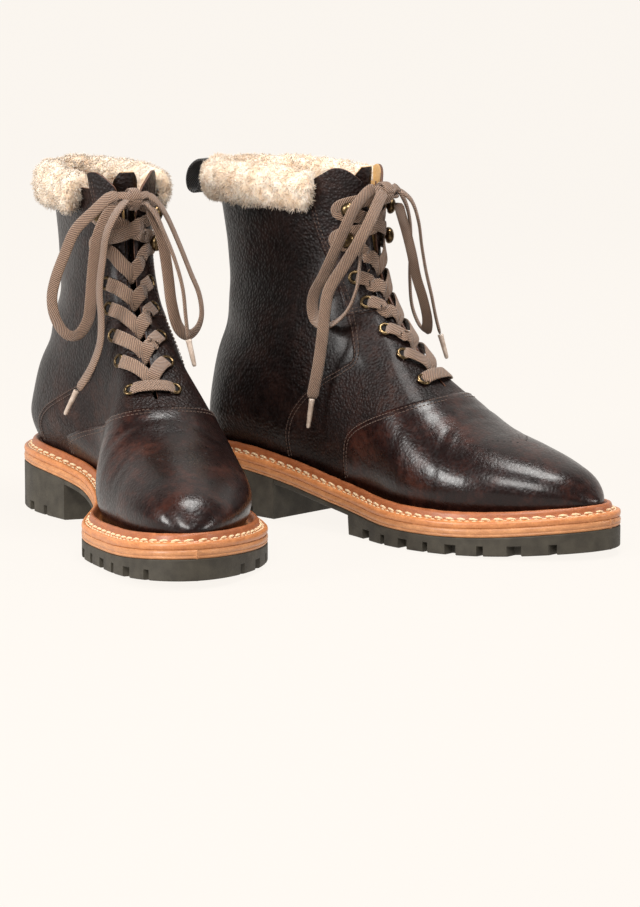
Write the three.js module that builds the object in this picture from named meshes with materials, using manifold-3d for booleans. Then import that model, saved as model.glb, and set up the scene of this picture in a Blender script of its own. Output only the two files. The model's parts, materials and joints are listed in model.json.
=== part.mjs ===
// A pair of lace-up hunting boots: lugged rubber sole, storm welt, leather upper, shearling
// lining and turned-down cuff, eyelets, lace studs and tied laces. Millimetres, +Z up.
//
// Each boot is modelled in its own frame: x runs from the heel to the toe, y to the outer side
// of the foot and z up from the ground. The right boot is the left one mirrored in y.
import * as THREE from 'three';
import { mergeVertices } from 'three/addons/utils/BufferGeometryUtils.js';
import Module from 'manifold-3d';

const wasm = await Module();
wasm.setup();

// ---- driving dimensions ----
const HEEL_END = -11;        // back of the sole
const TOE_END = 310;         // tip of the sole
const WELT_WIDTH = 8.5;      // how far the sole stands out beyond the upper
const WELT_THICK = 4;
const MIDSOLE_THICK = 4.5;
const GAP = 0.5;             // clearance between the layers of the sole
const FOOT_BACK = 1.5;       // back of the upper's heel
const HEEL_BREAST = 84;      // front face of the heel block
const FOREPART = 151;        // where the thick forepart tread starts
const TREAD_WAIST = 2.9;     // rubber under the waist
const NOTCH_WIDTHS = [7, 3.5];  // side notches in the tread, in turn
const NOTCH_PITCH = 17.5;
const NOTCH_BOX = 11;        // twice how deep a notch goes in from the sole's edge
const NOTCH_RISE = 12;       // twice its height
const LEATHER = 1.6;
const STIFFENER = [2.3, 3.3];   // depths under the outer surface
const LINING = [3.9, 7.6];
const TONGUE = [6.9, 9.1];
const TONGUE_HALF = 13;
const COLLAR_Z = 216;        // top of the facings
const CUFF_TOP = 215;
const SHAFT_TOP = 205;       // leather edge under the cuff
const SEAM_GAP = 0.4;
const LACE_WIDE = 3;
const LACE_THICK = 1.2;
const CORD_RADIUS = 2.0;
const AGLET_RADIUS = 1.6;
const ROUND = 7;             // facets round an eyelet or a stud
const AROUND = 26;           // facets round the upper
const ROWS = 9;              // facets up the upper
const FACET_ERROR = 0.1;     // how far facets may be merged
const FOOT_POWER = 2.25;     // how square the foot's and the leg's sections are; 2 is an ellipse
const LEG_POWER = 2.15;

// ---- outline curves, [position, value] ----
const FEATHER = curve([[0, 38], [60, 37], [100, 32], [140, 25.5], [180, 21], [220, 20.2],
  [260, 22], [310, 27]]);                                  // height of the welt's top
const SPRING = curve([[0, 0], [170, 0], [180, 0], [230, 0.6], [270, 2], [310, 5]]);  // tread's underside
const CENTRE = curve([[0, 0], [40, 0], [120, 6], [190, 4], [240, 0], [310, -9]]);
const SOLE_OUTER = curve([[0, 38], [45, 41], [110, 37], [150, 40], [195, 52], [235, 54], [310, 45]]);
const SOLE_INNER = curve([[0, 38], [45, 41], [110, 29], [150, 33], [200, 51], [240, 47], [310, 44]]);
const INSTEP = curve([[20, 95], [60, 120], [100, 132], [130, 126], [155, 115], [190, 88],
  [220, 71], [250, 62], [275, 53.5], [290, 46], [301.5, 33]]);
const SHAFT_BACK = curve([[36, 13], [55, 10.5], [75, 11.5], [100, 12.5], [130, 12], [160, 10], [205, 2],
  [225, 0]]);
const SHAFT_FRONT = curve([[36, 100], [80, 112], [110, 124], [140, 123], [170, 125], [205, 131],
  [225, 133]]);
const SHAFT_HALF = curve([[36, 33], [55, 35.5], [75, 32], [100, 26], [130, 23.5], [160, 23],
  [205, 26], [225, 27]]);
const SHAFT_SHIFT = 1;
const SPINE_POINTS = [[255, 36], [220, 42], [180, 50], [140, 60], [105, 72], [80, 90], [68, 115],
  [65, 150], [66, 222]];                                   // middle of the foot and leg, (x, z)

// ---- seams in side view, (x, z), from the throat or collar to the welt ----
const THROAT = [197, 86];
const VAMP_SEAM = {
  outer: [[212, 92], THROAT, [180, 78.5], [158, 70], [144, 62], [138, 50], [137, 10]],
  inner: [[212, 92], THROAT, [170, 75], [130, 66], [98, 57], [82, 47], [77, 10]],
};
const BACK_SEAM = {
  outer: [[94, 235], [99, 184], [112, 155], [128, 128], [139, 106], [133, 99], [118, 90], [100, 75],
    [90, 55], [87, 10]],
  inner: [[108, 235], [116, 175], [122, 150], [127, 124], [116, 96], [90, 81], [62, 66], [48, 48],
    [44, 10]],
};
const CROSS_SEAM = { outer: [[126, 127], [172, 139]], inner: [[125, 127], [172, 139]] };
const FASTENER_Z = [93, 107, 120.5, 135.5, 150, 173, 192];  // five eyelets, then two studs
const EYELETS = 5;
const FASTENER_Y = 12.5;

// ---- materials ----
const LOOKS = {
  leather: [0x3a2420, 0.45, 0],
  raw_leather: [0xb5723c, 0.7, 0],
  rubber: [0x3c352a, 0.85, 0],
  shearling: [0xe6d6bd, 0.95, 0],
  lace: [0x7a6050, 0.9, 0],
  brass: [0x8a6a3a, 0.35, 1],
  board: [0x9c7b52, 0.85, 0],
  steel: [0x888c90, 0.4, 1],
  webbing: [0x15120f, 0.8, 0],
  aglet: [0x9c8775, 0.4, 0],
};

/** A smooth curve through the points: cubic Hermite, level with its end values outside them. */
function curve(points) {
  const slopes = points.map((_, i) => {
    const before = i > 0 ? slopeOf(points, i - 1) : slopeOf(points, 0);
    const after = i < points.length - 1 ? slopeOf(points, i) : before;
    if (i === 0 || i === points.length - 1) return i === 0 ? after : before;
    const left = points[i][0] - points[i - 1][0];
    const right = points[i + 1][0] - points[i][0];
    return (before * right + after * left) / (left + right);
  });
  return (at) => {
    const last = points.length - 1;
    const x = Math.min(Math.max(at, points[0][0]), points[last][0]);
    let i = 0;
    while (i < last - 1 && x >= points[i + 1][0]) i += 1;
    const width = points[i + 1][0] - points[i][0];
    const t = (x - points[i][0]) / width;
    const t2 = t * t;
    const t3 = t2 * t;
    return (2 * t3 - 3 * t2 + 1) * points[i][1] + (t3 - 2 * t2 + t) * width * slopes[i]
      + (3 * t2 - 2 * t3) * points[i + 1][1] + (t3 - t2) * width * slopes[i + 1];
  };
}

function slopeOf(points, i) {
  return (points[i + 1][1] - points[i][1]) / (points[i + 1][0] - points[i][0]);
}

/** Rounds an outline off between its heel end x0 and its toe end x1. */
function roundEnds(x, x0, x1, heelRadius, toeRadius) {
  const a = THREE.MathUtils.clamp((x - x0) / heelRadius, 0, 1);
  const b = THREE.MathUtils.clamp((x1 - x) / toeRadius, 0, 1);
  return Math.sqrt(Math.max(0, 1 - (1 - a) ** 2.2)) * Math.sqrt(Math.max(0, 1 - (1 - b) ** 2.1));
}

/** y of the sole's edge on one side, moved in by inset and then narrowed by the squeeze factor. */
function edgeY(x, side, inset = 0, squeeze = 1) {
  const half = (side > 0 ? SOLE_OUTER(x) : SOLE_INNER(x)) - inset;
  const ends = roundEnds(x, HEEL_END + inset, TOE_END - inset, 44 - 0.3 * inset, 86 - 0.3 * inset);
  return CENTRE(x) + side * Math.max(half * ends * squeeze, 0.4);
}

function superellipse(a, b, power) {
  return (a ** power + b ** power) ** (1 / power);
}

/** Distance-like value of the foot part of the upper: negative inside. */
function footField(x, y, z) {
  const toe = TOE_END - WELT_WIDTH;
  const heel = FOOT_BACK + 10;
  const at = THREE.MathUtils.clamp(x, heel, toe - 0.01);
  const centre = CENTRE(x);
  const edge = (y >= centre ? SOLE_OUTER(at) : SOLE_INNER(at)) - WELT_WIDTH;
  const half = edge * roundEnds(at, FOOT_BACK, toe, 40, 84) + 0.01;
  const low = FEATHER(at);
  const top = INSTEP(at);
  const middle = low + 0.3 * (top - low);
  const height = z > middle ? top - middle : 2 * (middle - low);
  const r = superellipse(Math.abs(y - centre) / half, Math.abs(z - middle) / height, FOOT_POWER);
  const beyond = Math.max(0, x - toe) + 3 * Math.max(0, heel - x);
  return (r - 1) * Math.min(half, top - middle) + beyond;
}

/** The same for the leg part. */
function shaftField(x, y, z) {
  const long = (SHAFT_FRONT(z) - SHAFT_BACK(z)) / 2;
  const middle = (SHAFT_FRONT(z) + SHAFT_BACK(z)) / 2;
  const half = SHAFT_HALF(z);
  const r = superellipse(Math.abs(x - middle) / long, Math.abs(y - SHAFT_SHIFT) / half, LEG_POWER);
  return (r - 1) * Math.min(long, half);
}

/** Keeps the upper inside the welt at its foot: the wall may lean out by the given slope. */
function footWall(x, y, z) {
  const lean = 0.5;
  const low = FEATHER(x);
  const side = y >= CENTRE(x) ? 1 : -1;
  const edge = Math.abs(edgeY(x, side, WELT_WIDTH, 0.9) - CENTRE(x));
  return Math.max(Math.abs(y - CENTRE(x)) - edge - lean * (z - low), low - z);
}

/** The smaller of two values, or minus the smaller of their negatives, rounded over a width. */
function blendMin(a, b, width) {
  const h = THREE.MathUtils.clamp(0.5 + 0.5 * (b - a) / width, 0, 1);
  return b * (1 - h) + a * h - width * h * (1 - h);
}

/** The upper's outer surface is where this is zero; it grows outward in about millimetres. */
function field(x, y, z) {
  const body = blendMin(footField(x, y, z), shaftField(x, y, z), 26);
  return -blendMin(-body, -footWall(x, y, z), 5);
}

/** A point of the ring where the upper meets the welt; t is 0 at the toe and 0.5 at the heel. */
function weltRing(t, inset, squeeze = 1, rise = 0) {
  const angle = 2 * Math.PI * t;
  const x0 = HEEL_END + inset;
  const x1 = TOE_END - inset;
  const x = x0 + (x1 - x0) * (1 + Math.cos(angle)) / 2;
  return new THREE.Vector3(x, edgeY(x, Math.sin(angle) >= 0 ? 1 : -1, inset, squeeze), FEATHER(x) + rise);
}

/** A point of a level ring round the leg at height z, moved outward by off. */
function shaftRing(t, z, off = 0) {
  const angle = 2 * Math.PI * t;
  const power = 2 / LEG_POWER;
  const long = (SHAFT_FRONT(z) - SHAFT_BACK(z)) / 2 + off;
  const x = (SHAFT_FRONT(z) + SHAFT_BACK(z)) / 2 + long * signedPower(Math.cos(angle), power);
  return new THREE.Vector3(x, SHAFT_SHIFT + (SHAFT_HALF(z) + off) * signedPower(Math.sin(angle), power), z);
}

function signedPower(value, power) {
  return Math.sign(value) * Math.abs(value) ** power;
}

const SPINE = new THREE.CatmullRomCurve3(SPINE_POINTS.map(([x, z]) => new THREE.Vector3(x, 0, z)))
  .getSpacedPoints(100);

/** One column of points from the welt to the collar, at the given depth under the surface. */
function column(t, depth) {
  const angle = 2 * Math.PI * t;
  const low = weltRing(t, WELT_WIDTH, 0.9, 0.4);
  const high = shaftRing(t, COLLAR_Z);
  const bend = new THREE.Vector3(58 + 60 * Math.cos(angle), 28 * Math.sin(angle), 100);
  const guide = new THREE.QuadraticBezierCurve3(low, bend, high);
  const inward = new THREE.Vector3(low.x - THREE.MathUtils.clamp(low.x, 40, 240), low.y - CENTRE(low.x), 0);
  const points = [low.clone().addScaledVector(inward.normalize(), -depth)];
  for (let j = 1; j <= ROWS; j += 1) {
    const p = onSurface(guide.getPoint(j / ROWS));
    points.push(p.addScaledVector(normalAt(p), -depth));
  }
  return points;
}

/** Where the line from the spine through the aim point meets the surface. */
function onSurface(aim) {
  const from = SPINE.reduce((a, b) => (aim.distanceToSquared(b) < aim.distanceToSquared(a) ? b : a));
  const way = aim.clone().sub(from).normalize();
  let near = 0;
  let far = 110;
  for (let step = 0; step < 30; step += 1) {
    const middle = (near + far) / 2;
    const p = from.clone().addScaledVector(way, middle);
    if (field(p.x, p.y, p.z) < 0) near = middle;
    else far = middle;
  }
  return from.clone().addScaledVector(way, near);
}

/** The surface's outward normal. */
function normalAt({ x, y, z }) {
  const d = 0.5;
  return new THREE.Vector3(
    field(x + d, y, z) - field(x - d, y, z),
    field(x, y + d, z) - field(x, y - d, z),
    field(x, y, z + d) - field(x, y, z - d),
  ).normalize();
}

const SKIN = skinMesh();

/** The upper's faceted outer surface, for finding points on it. */
function skinMesh() {
  const position = [];
  for (let i = 0; i < AROUND; i += 1) position.push(...column(i / AROUND, 0).flatMap((p) => p.toArray()));
  const index = [];
  for (let i = 0; i < AROUND; i += 1) {
    for (let j = 0; j < ROWS; j += 1) {
      const a = i * (ROWS + 1) + j;
      const b = ((i + 1) % AROUND) * (ROWS + 1) + j;
      index.push(a, b, b + 1, a, b + 1, a + 1);
    }
  }
  const geometry = new THREE.BufferGeometry();
  geometry.setAttribute('position', new THREE.Float32BufferAttribute(position, 3));
  geometry.setIndex(index);
  return new THREE.Mesh(geometry, new THREE.MeshBasicMaterial({ side: THREE.DoubleSide }));
}

/** The front of the instep at a given y and z: its surface point, lifted, and outward normal. */
function frontPoint(y, z, lift = 0) {
  const ray = new THREE.Raycaster(new THREE.Vector3(400, y, z), new THREE.Vector3(-1, 0, 0));
  const { point } = ray.intersectObject(SKIN)[0];
  const normal = normalAt(point);
  return { normal, point: point.clone().addScaledVector(normal, lift) };
}

// ---- solids ----

/**
 * A closed body through equal polygons; an open one gets end caps. From the corner flipFrom on,
 * the quads are split along their other diagonal, so that a shell's two faces have like facets.
 */
function sweep(sections, closed, flipFrom = Infinity) {
  const count = sections[0].length;
  const position = sections.flat().flatMap((p) => [p.x, p.y, p.z]);
  const index = [];
  const spans = closed ? sections.length : sections.length - 1;
  for (let i = 0; i < spans; i += 1) {
    const a = i * count;
    const b = ((i + 1) % sections.length) * count;
    for (let j = 0; j < count; j += 1) {
      const k = (j + 1) % count;
      if (j < flipFrom) index.push(a + j, b + j, b + k, a + j, b + k, a + k);
      else index.push(a + j, b + j, a + k, b + j, b + k, a + k);
    }
  }
  if (!closed) {
    index.push(...cap(sections[0], 0, false));
    index.push(...cap(sections.at(-1), (sections.length - 1) * count, true));
  }
  return outward(position, index);
}

/** Triangles that fill one polygon, which may be hollow-sided, seen along its own normal. */
function cap(polygon, first, last) {
  const middle = polygon.reduce((sum, p) => sum.add(p), new THREE.Vector3()).divideScalar(polygon.length);
  const normal = new THREE.Vector3();
  polygon.forEach((p, i) => {
    const next = polygon[(i + 1) % polygon.length];
    normal.add(p.clone().sub(middle).cross(next.clone().sub(middle)));
  });
  normal.normalize();
  const u = polygon[1].clone().sub(polygon[0]);
  u.addScaledVector(normal, -u.dot(normal)).normalize();
  const v = normal.clone().cross(u);
  const flat = polygon.map((p) => {
    const from = p.clone().sub(middle);
    return new THREE.Vector2(from.dot(u), from.dot(v));
  });
  const faces = THREE.ShapeUtils.triangulateShape(flat, []);
  return faces.flatMap(([a, b, c]) => (last ? [a, c, b] : [a, b, c]).map((corner) => first + corner));
}

/** Makes the geometry with its faces turned outward. */
function outward(position, index) {
  let volume = 0;
  const at = (i) => new THREE.Vector3(position[3 * i], position[3 * i + 1], position[3 * i + 2]);
  for (let i = 0; i < index.length; i += 3) {
    volume += at(index[i]).dot(at(index[i + 1]).cross(at(index[i + 2])));
  }
  const geometry = new THREE.BufferGeometry();
  geometry.setAttribute('position', new THREE.Float32BufferAttribute(position, 3));
  geometry.setIndex(volume > 0 ? index : index.slice().reverse());
  return geometry;
}

function solid(geometry) {
  const bare = geometry.clone();
  bare.deleteAttribute('normal');
  bare.deleteAttribute('uv');
  const merged = mergeVertices(bare, 1e-4);
  return new wasm.Manifold(new wasm.Mesh({
    numProp: 3,
    vertProperties: new Float32Array(merged.attributes.position.array),
    triVerts: new Uint32Array(merged.index.array),
  }));
}

function geometryOf(body, error = FACET_ERROR) {
  const mesh = body.asOriginal().simplify(error).getMesh();
  const geometry = new THREE.BufferGeometry();
  geometry.setAttribute('position', new THREE.BufferAttribute(mesh.vertProperties, 3));
  geometry.setIndex(new THREE.BufferAttribute(mesh.triVerts, 1));
  return geometry;
}

function united(geometries) {
  return geometries.map(solid).reduce((sum, next) => sum.add(next));
}

/** A side-view polygon (x, z) as a solid between two y values. */
function slab(points, y0, y1) {
  const shape = new THREE.Shape(points.map(([x, z]) => new THREE.Vector2(x, z)));
  const geometry = new THREE.ExtrudeGeometry(shape, { depth: y1 - y0, bevelEnabled: false });
  return solid(geometry.rotateX(Math.PI / 2).translate(0, y1, 0));
}

/** A thin wall along a side-view line, used to part the upper along a seam. */
function blade(line, y0, y1) {
  const half = SEAM_GAP / 2;
  const normals = line.map((_, i) => {
    const a = line[Math.max(i - 1, 0)];
    const b = line[Math.min(i + 1, line.length - 1)];
    const length = Math.hypot(b[0] - a[0], b[1] - a[1]);
    return [-(b[1] - a[1]) / length * half, (b[0] - a[0]) / length * half];
  });
  const left = line.map(([x, z], i) => [x + normals[i][0], z + normals[i][1]]);
  const right = line.map(([x, z], i) => [x - normals[i][0], z - normals[i][1]]).reverse();
  return slab([...left, ...right], y0, y1);
}

/** A box from p to q, of the given width and thickness, flat to the normal. */
function bar(p, q, normal, width, thick, extra = 0.5) {
  const along = q.clone().sub(p);
  const length = along.length();
  along.normalize();
  const across = normal.clone().cross(along).normalize();
  const up = along.clone().cross(across);
  const box = new THREE.BoxGeometry(length + 2 * extra, width, thick);
  const place = new THREE.Matrix4().makeBasis(along, across, up);
  place.setPosition(p.clone().add(q).multiplyScalar(0.5));
  return box.applyMatrix4(place);
}

/** Turns a piece made round +Z at the origin so that it stands on a point along its normal. */
function standOn(geometry, { point, normal }) {
  const turn = new THREE.Quaternion().setFromUnitVectors(new THREE.Vector3(0, 0, 1), normal);
  return geometry.applyQuaternion(turn).translate(point.x, point.y, point.z);
}

/** A cylinder through the leather at a fastener's place. */
function drill(place, radius, segments) {
  const depth = 12;
  const cylinder = new THREE.CylinderGeometry(radius, radius, depth, segments);
  return solid(standOn(cylinder.rotateX(Math.PI / 2), place));
}

function lathe(profile, segments) {
  const points = profile.map(([r, z]) => new THREE.Vector2(r, z));
  return new THREE.LatheGeometry(points, segments).rotateX(Math.PI / 2);
}

// ---- sole ----

/** A plate that follows the sole's outline; low and high give its faces' heights at x. */
function plate({ x0, x1, inset = 0, squeeze = 1, low, high, steps = 24, extraStations = [] }) {
  const stations = [];
  for (let i = 0; i <= steps; i += 1) {
    stations.push(x0 + (x1 - x0) * (1 - Math.cos(Math.PI * i / steps)) / 2);
  }
  stations.push(...extraStations);
  stations.sort((a, b) => a - b);
  return sweep(stations.map((x) => {
    const outer = edgeY(x, 1, inset, squeeze);
    const inner = edgeY(x, -1, inset, squeeze);
    return [
      new THREE.Vector3(x, outer, low(x)), new THREE.Vector3(x, outer, high(x)),
      new THREE.Vector3(x, inner, high(x)), new THREE.Vector3(x, inner, low(x)),
    ];
  }), false);
}

const MIDSOLE_TOP = -WELT_THICK - GAP;
const MIDSOLE_LOW = MIDSOLE_TOP - MIDSOLE_THICK;
const RUBBER_TOP = MIDSOLE_LOW - GAP;

function treadTop(x) {
  return FEATHER(x) + RUBBER_TOP;
}

/** Boxes that cut side notches into the tread between two x values, wide and narrow in turn. */
function notches(from, to) {
  const cuts = [];
  let count = 0;
  for (let x = from; x <= to; x += NOTCH_PITCH) {
    for (const side of [1, -1]) {
      const y = edgeY(x, side, 0);
      const slope = (edgeY(x + 1, side, 0) - edgeY(x - 1, side, 0)) / 2;
      const width = NOTCH_WIDTHS[count % 2];
      const box = new THREE.BoxGeometry(width, NOTCH_BOX, NOTCH_RISE).rotateZ(Math.atan(slope));
      cuts.push(box.translate(x, y, SPRING(x)));
    }
    count += 1;
  }
  return united(cuts);
}

function outsole() {
  const low = (x) => (x < FOREPART + 0.5 ? treadTop(x) - TREAD_WAIST : SPRING(x));
  const body = plate({
    x0: HEEL_BREAST + GAP, x1: TOE_END, low, high: treadTop, extraStations: [FOREPART, FOREPART + 1],
  });
  return geometryOf(solid(body).subtract(notches(FOREPART + 19, TOE_END - 17)));
}

function heelBlock() {
  const body = plate({ x0: HEEL_END, x1: HEEL_BREAST, low: () => 0, high: treadTop, steps: 14 });
  return geometryOf(solid(body).subtract(notches(12, 66)));
}

function midsole() {
  return plate({
    x0: HEEL_END, x1: TOE_END, low: (x) => FEATHER(x) + MIDSOLE_LOW, high: (x) => FEATHER(x) + MIDSOLE_TOP,
  });
}

/** The welt: a flat ring with a raised rim that hugs the foot of the upper. */
function welt() {
  const steps = 34;
  const section = [
    [0, 1, -WELT_THICK], [0, 1, 0], [4.6, 1, 0], [4.9, 1, 4], [7.2, 1, 4.4], [7.2, 0.96, 0],
    [WELT_WIDTH + 2.5, 0.9, 0], [WELT_WIDTH + 2.5, 0.9, -WELT_THICK],
  ];
  const sections = [];
  for (let i = 0; i < steps; i += 1) {
    sections.push(section.map(([inset, squeeze, rise]) => weltRing(i / steps, inset, squeeze, rise)));
  }
  return sweep(sections, true);
}

function insole() {
  const inset = WELT_WIDTH + 4.5;
  return plate({
    x0: HEEL_END + inset, x1: TOE_END - inset, inset, squeeze: 0.9, steps: 16,
    low: (x) => FEATHER(x) - 2.5, high: (x) => FEATHER(x) - GAP,
  });
}

function shank() {
  const sections = [];
  for (let x = 45; x <= 155; x += 10) {
    const y = CENTRE(x);
    const z = FEATHER(x);
    sections.push([[8, -4.1], [8, -3.1], [-8, -3.1], [-8, -4.1]]
      .map(([side, rise]) => new THREE.Vector3(x, y + side, z + rise)));
  }
  return sweep(sections, false);
}

function footbed() {
  const inset = WELT_WIDTH + 13;
  return plate({
    x0: HEEL_END + inset, x1: TOE_END - inset - 6, inset, squeeze: 0.9, steps: 16,
    low: (x) => FEATHER(x) + GAP, high: (x) => FEATHER(x) + 4.5,
  });
}

// ---- upper ----

/** A shell between two depths under the upper's surface. */
function shell(depthOut, depthIn) {
  const sections = [];
  for (let i = 0; i < AROUND; i += 1) {
    const t = i / AROUND;
    sections.push([...column(t, depthOut), ...column(t, depthIn).reverse()]);
  }
  return solid(sweep(sections, true, ROWS + 1));
}

/** The fastener places on one side, from the vamp to the collar. */
function fasteners(side) {
  return FASTENER_Z.map((z) => frontPoint(side * FASTENER_Y + SHAFT_SHIFT, z));
}

/** Everything that parts the leather shell into its panels. */
function seamCuts() {
  const throatHalf = 2.6;
  const slit = [[190, 76], [206, 91], [206, 240], [80, 240], [80, 118], [150, 98]];
  let cuts = slab(slit, SHAFT_SHIFT - throatHalf, SHAFT_SHIFT + throatHalf);
  for (const [name, y0, y1] of [['outer', SHAFT_SHIFT - 0.5, 80], ['inner', -80, SHAFT_SHIFT + 0.5]]) {
    for (const seam of [VAMP_SEAM, BACK_SEAM, CROSS_SEAM]) cuts = cuts.add(blade(seam[name], y0, y1));
  }
  const collar = [[-40, SHAFT_TOP], [104, SHAFT_TOP], [112, COLLAR_Z - 1], [120, COLLAR_Z + 0.5],
    [127, COLLAR_Z - 4], [133, COLLAR_Z - 14], [150, COLLAR_Z - 20], [150, 250], [-40, 250]];
  cuts = cuts.add(slab(collar, -60, 60));
  for (const side of [1, -1]) {
    for (const place of fasteners(side)) {
      cuts = cuts.add(drill(place, 3.8, 10));
    }
  }
  return cuts;
}

/** The leather panels by name. */
function panels() {
  const parts = {};
  for (const piece of shell(0, LEATHER).subtract(seamCuts()).decompose()) {
    if (piece.volume() < 60) continue;
    const { min, max } = piece.boundingBox();
    const side = (min[1] + max[1]) / 2 > SHAFT_SHIFT ? 'outer' : 'inner';
    let name = max[2] > 190 ? `facing_${side}` : `quarter_${side}`;
    if (max[0] > 280) name = 'vamp';
    if (min[0] < 20) name = 'back_quarter';
    parts[name] = geometryOf(piece);
  }
  return parts;
}

function lining() {
  const throat = [[208, 66], [190, 62], [176, 76], [150, 92], [125, 110], [112, 140], [112, 240],
    [170, 240], [170, 130], [225, 90]];
  const high = CUFF_TOP - 16.4;
  const top = [[-60, high], [400, high], [400, 300], [-60, 300]];
  const body = shell(LINING[0], LINING[1]);
  const front = slab(throat, SHAFT_SHIFT - TONGUE_HALF - 4, SHAFT_SHIFT + TONGUE_HALF + 4);
  return geometryOf(body.subtract(front).subtract(slab(top, -80, 80)));
}

/** The stiffener that one box keeps: the counter round the heel or the puff over the toes. */
function stiffener(x0, x1, z1) {
  const keep = slab([[x0, 0], [x1, 0], [x1, z1], [x0, z1]], -80, 80);
  return geometryOf(shell(STIFFENER[0], STIFFENER[1]).intersect(keep));
}

function tongue() {
  const sections = [];
  const columns = [-1, -0.5, 0, 0.5, 1];
  for (let z = 86; z <= 215; z += 12.8) {
    const face = (depth) => columns.map((c) => frontPoint(SHAFT_SHIFT + c * TONGUE_HALF, z, -depth).point);
    sections.push([...face(TONGUE[0]), ...face(TONGUE[1]).reverse()]);
  }
  return sweep(sections, false);
}

/** The shearling cuff, turned down over the leg from one facing round the back to the other. */
function cuff() {
  const low = CUFF_TOP - 26;
  const section = [[1.2, low + 0.5], [8, low], [12, low + 5], [12.5, low + 16], [8, low + 23], [0, CUFF_TOP],
    [-6, low + 23], [-9, low + 18], [-8.5, low + 10], [-3, low + 10], [-3, SHAFT_TOP + 0.4],
    [1.2, SHAFT_TOP + 0.4]];
  const first = 4.3;
  const sections = [];
  const places = [first];
  for (let i = Math.ceil(first); i <= AROUND - first; i += 1) places.push(i);
  places.push(AROUND - first);
  for (const i of places) sections.push(section.map(([off, z]) => shaftRing(i / AROUND, z, off)));
  return sweep(sections, false);
}

/** A folded loop of webbing that hangs over the cuff at the back. */
function pullTab() {
  const outside = [[2, 217.4], [-7, 220.5], [-17, 219], [-26, 211.5], [-29.5, 201], [-28, 192.5],
    [-21, 190], [-15.7, 193.5], [-15.2, 205], [-9.5, 213.8]];
  const inner = [[-8.5, 218], [-16.3, 216.8], [-24, 209.7], [-27.5, 201.5], [-26.4, 194.6], [-21, 192.2],
    [-18, 194.5], [-17.2, 199], [-17.1, 205.6], [-12, 214]];
  const outer = new THREE.CatmullRomCurve3(outside.map(([x, z]) => new THREE.Vector3(x, z, 0)), true);
  const rim = outer.getSpacedPoints(22).slice(0, -1);
  const shape = new THREE.Shape(rim.map((p) => new THREE.Vector2(p.x, p.y)));
  shape.holes.push(new THREE.Path(inner.map(([x, z]) => new THREE.Vector2(x, z))));
  const geometry = new THREE.ExtrudeGeometry(shape, { depth: 14, bevelEnabled: false });
  return geometry.rotateX(Math.PI / 2).translate(0, SHAFT_SHIFT + 7, 0);
}

// ---- lace hardware and laces ----

/** The eyelets or the studs of one side, joined by the tape behind the leather. */
function hardware(side, first, last, profile, bore) {
  const places = fasteners(side).slice(first, last);
  const bodies = places.map((place) => standOn(lathe(profile, ROUND), place));
  for (let i = first; i < last - 1; i += 1) {
    const deep = (z) => frontPoint(side * FASTENER_Y + SHAFT_SHIFT, z, -2.9);
    const stops = [0, 0.5, 1].map((f) => deep(FASTENER_Z[i] * (1 - f) + FASTENER_Z[i + 1] * f));
    for (const [a, b] of [[stops[0], stops[1]], [stops[1], stops[2]]]) {
      bodies.push(bar(a.point, b.point, a.normal.clone().add(b.normal), 5.4, 0.7));
    }
  }
  let body = united(bodies);
  if (bore) {
    for (const place of places) {
      body = body.subtract(drill(place, bore, ROUND));
    }
  }
  return geometryOf(body);
}

const EYELET_PROFILE = [[1.5, -3.1], [3, -3.1], [3, 0.6], [4.3, 0.6], [4.1, 1.1], [1.5, 1.1], [1.5, -3.1]];
const EYELET_BORE = 2.3;
const STUD_PROFILE = [[0, -3.1], [1.8, -3.1], [1.8, 0.5], [4.2, 0.5], [4.2, 1], [1.8, 1], [1.8, 4.1],
  [4.5, 4.3], [4.9, 5.7], [3.6, 7.7], [0, 8.7]];
const KNOT = new THREE.Vector3(138, SHAFT_SHIFT, 201.5);

/** The laced part of the lace with its knot: it crosses from row to row up to the two studs. */
function lace() {
  const pieces = [];
  const over = 2.9;
  const under = -4.8;
  const neck = FASTENER_Y - 3.8;
  const height = (row) => {
    const low = Math.floor(row);
    const next = Math.min(low + 1, FASTENER_Z.length - 1);
    return FASTENER_Z[low] + (row - low) * (FASTENER_Z[next] - FASTENER_Z[low]);
  };
  const run = (from, to, lift, parts = 2) => {
    const stop = (f) => frontPoint(SHAFT_SHIFT + from[1] + f * (to[1] - from[1]),
      height(from[0]) * (1 - f) + height(to[0]) * f, lift);
    for (let i = 0; i < parts; i += 1) {
      const a = stop(i / parts);
      const b = stop((i + 1) / parts);
      pieces.push(bar(a.point, b.point, a.normal.clone().add(b.normal), LACE_WIDE, LACE_THICK, 0.3));
    }
  };
  const post = (row, y) => {
    const a = frontPoint(SHAFT_SHIFT + y, height(row), under);
    const b = frontPoint(SHAFT_SHIFT + y, height(row), over);
    pieces.push(bar(a.point, b.point, new THREE.Vector3(0, 1, 0), 2, 2, 0.3));
  };
  for (const side of [1, -1]) {
    for (let row = 0; row < EYELETS; row += 1) {
      post(row, side * FASTENER_Y);
      run([row, side * FASTENER_Y], [row + 0.5, 0], under);
      run([row + 0.5, 0], [row + 1, -side * (row + 1 < EYELETS ? FASTENER_Y : neck)], over);
    }
    run([EYELETS, side * neck], [EYELETS + 1, -side * neck], over, 4);
    const top = frontPoint(SHAFT_SHIFT + side * neck, FASTENER_Z[EYELETS + 1], over);
    pieces.push(bar(top.point, KNOT, top.normal, LACE_WIDE, LACE_THICK));
  }
  for (let row = 0; row < EYELETS; row += 1) post(row + 0.5, 0);
  run([0, FASTENER_Y], [0, -FASTENER_Y], over, 4);
  const knot = new THREE.SphereGeometry(1, 8, 6).scale(4.6, 6.4, 5);
  pieces.push(knot.translate(KNOT.x, KNOT.y, KNOT.z));
  return geometryOf(united(pieces), 0.3);
}

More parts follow.
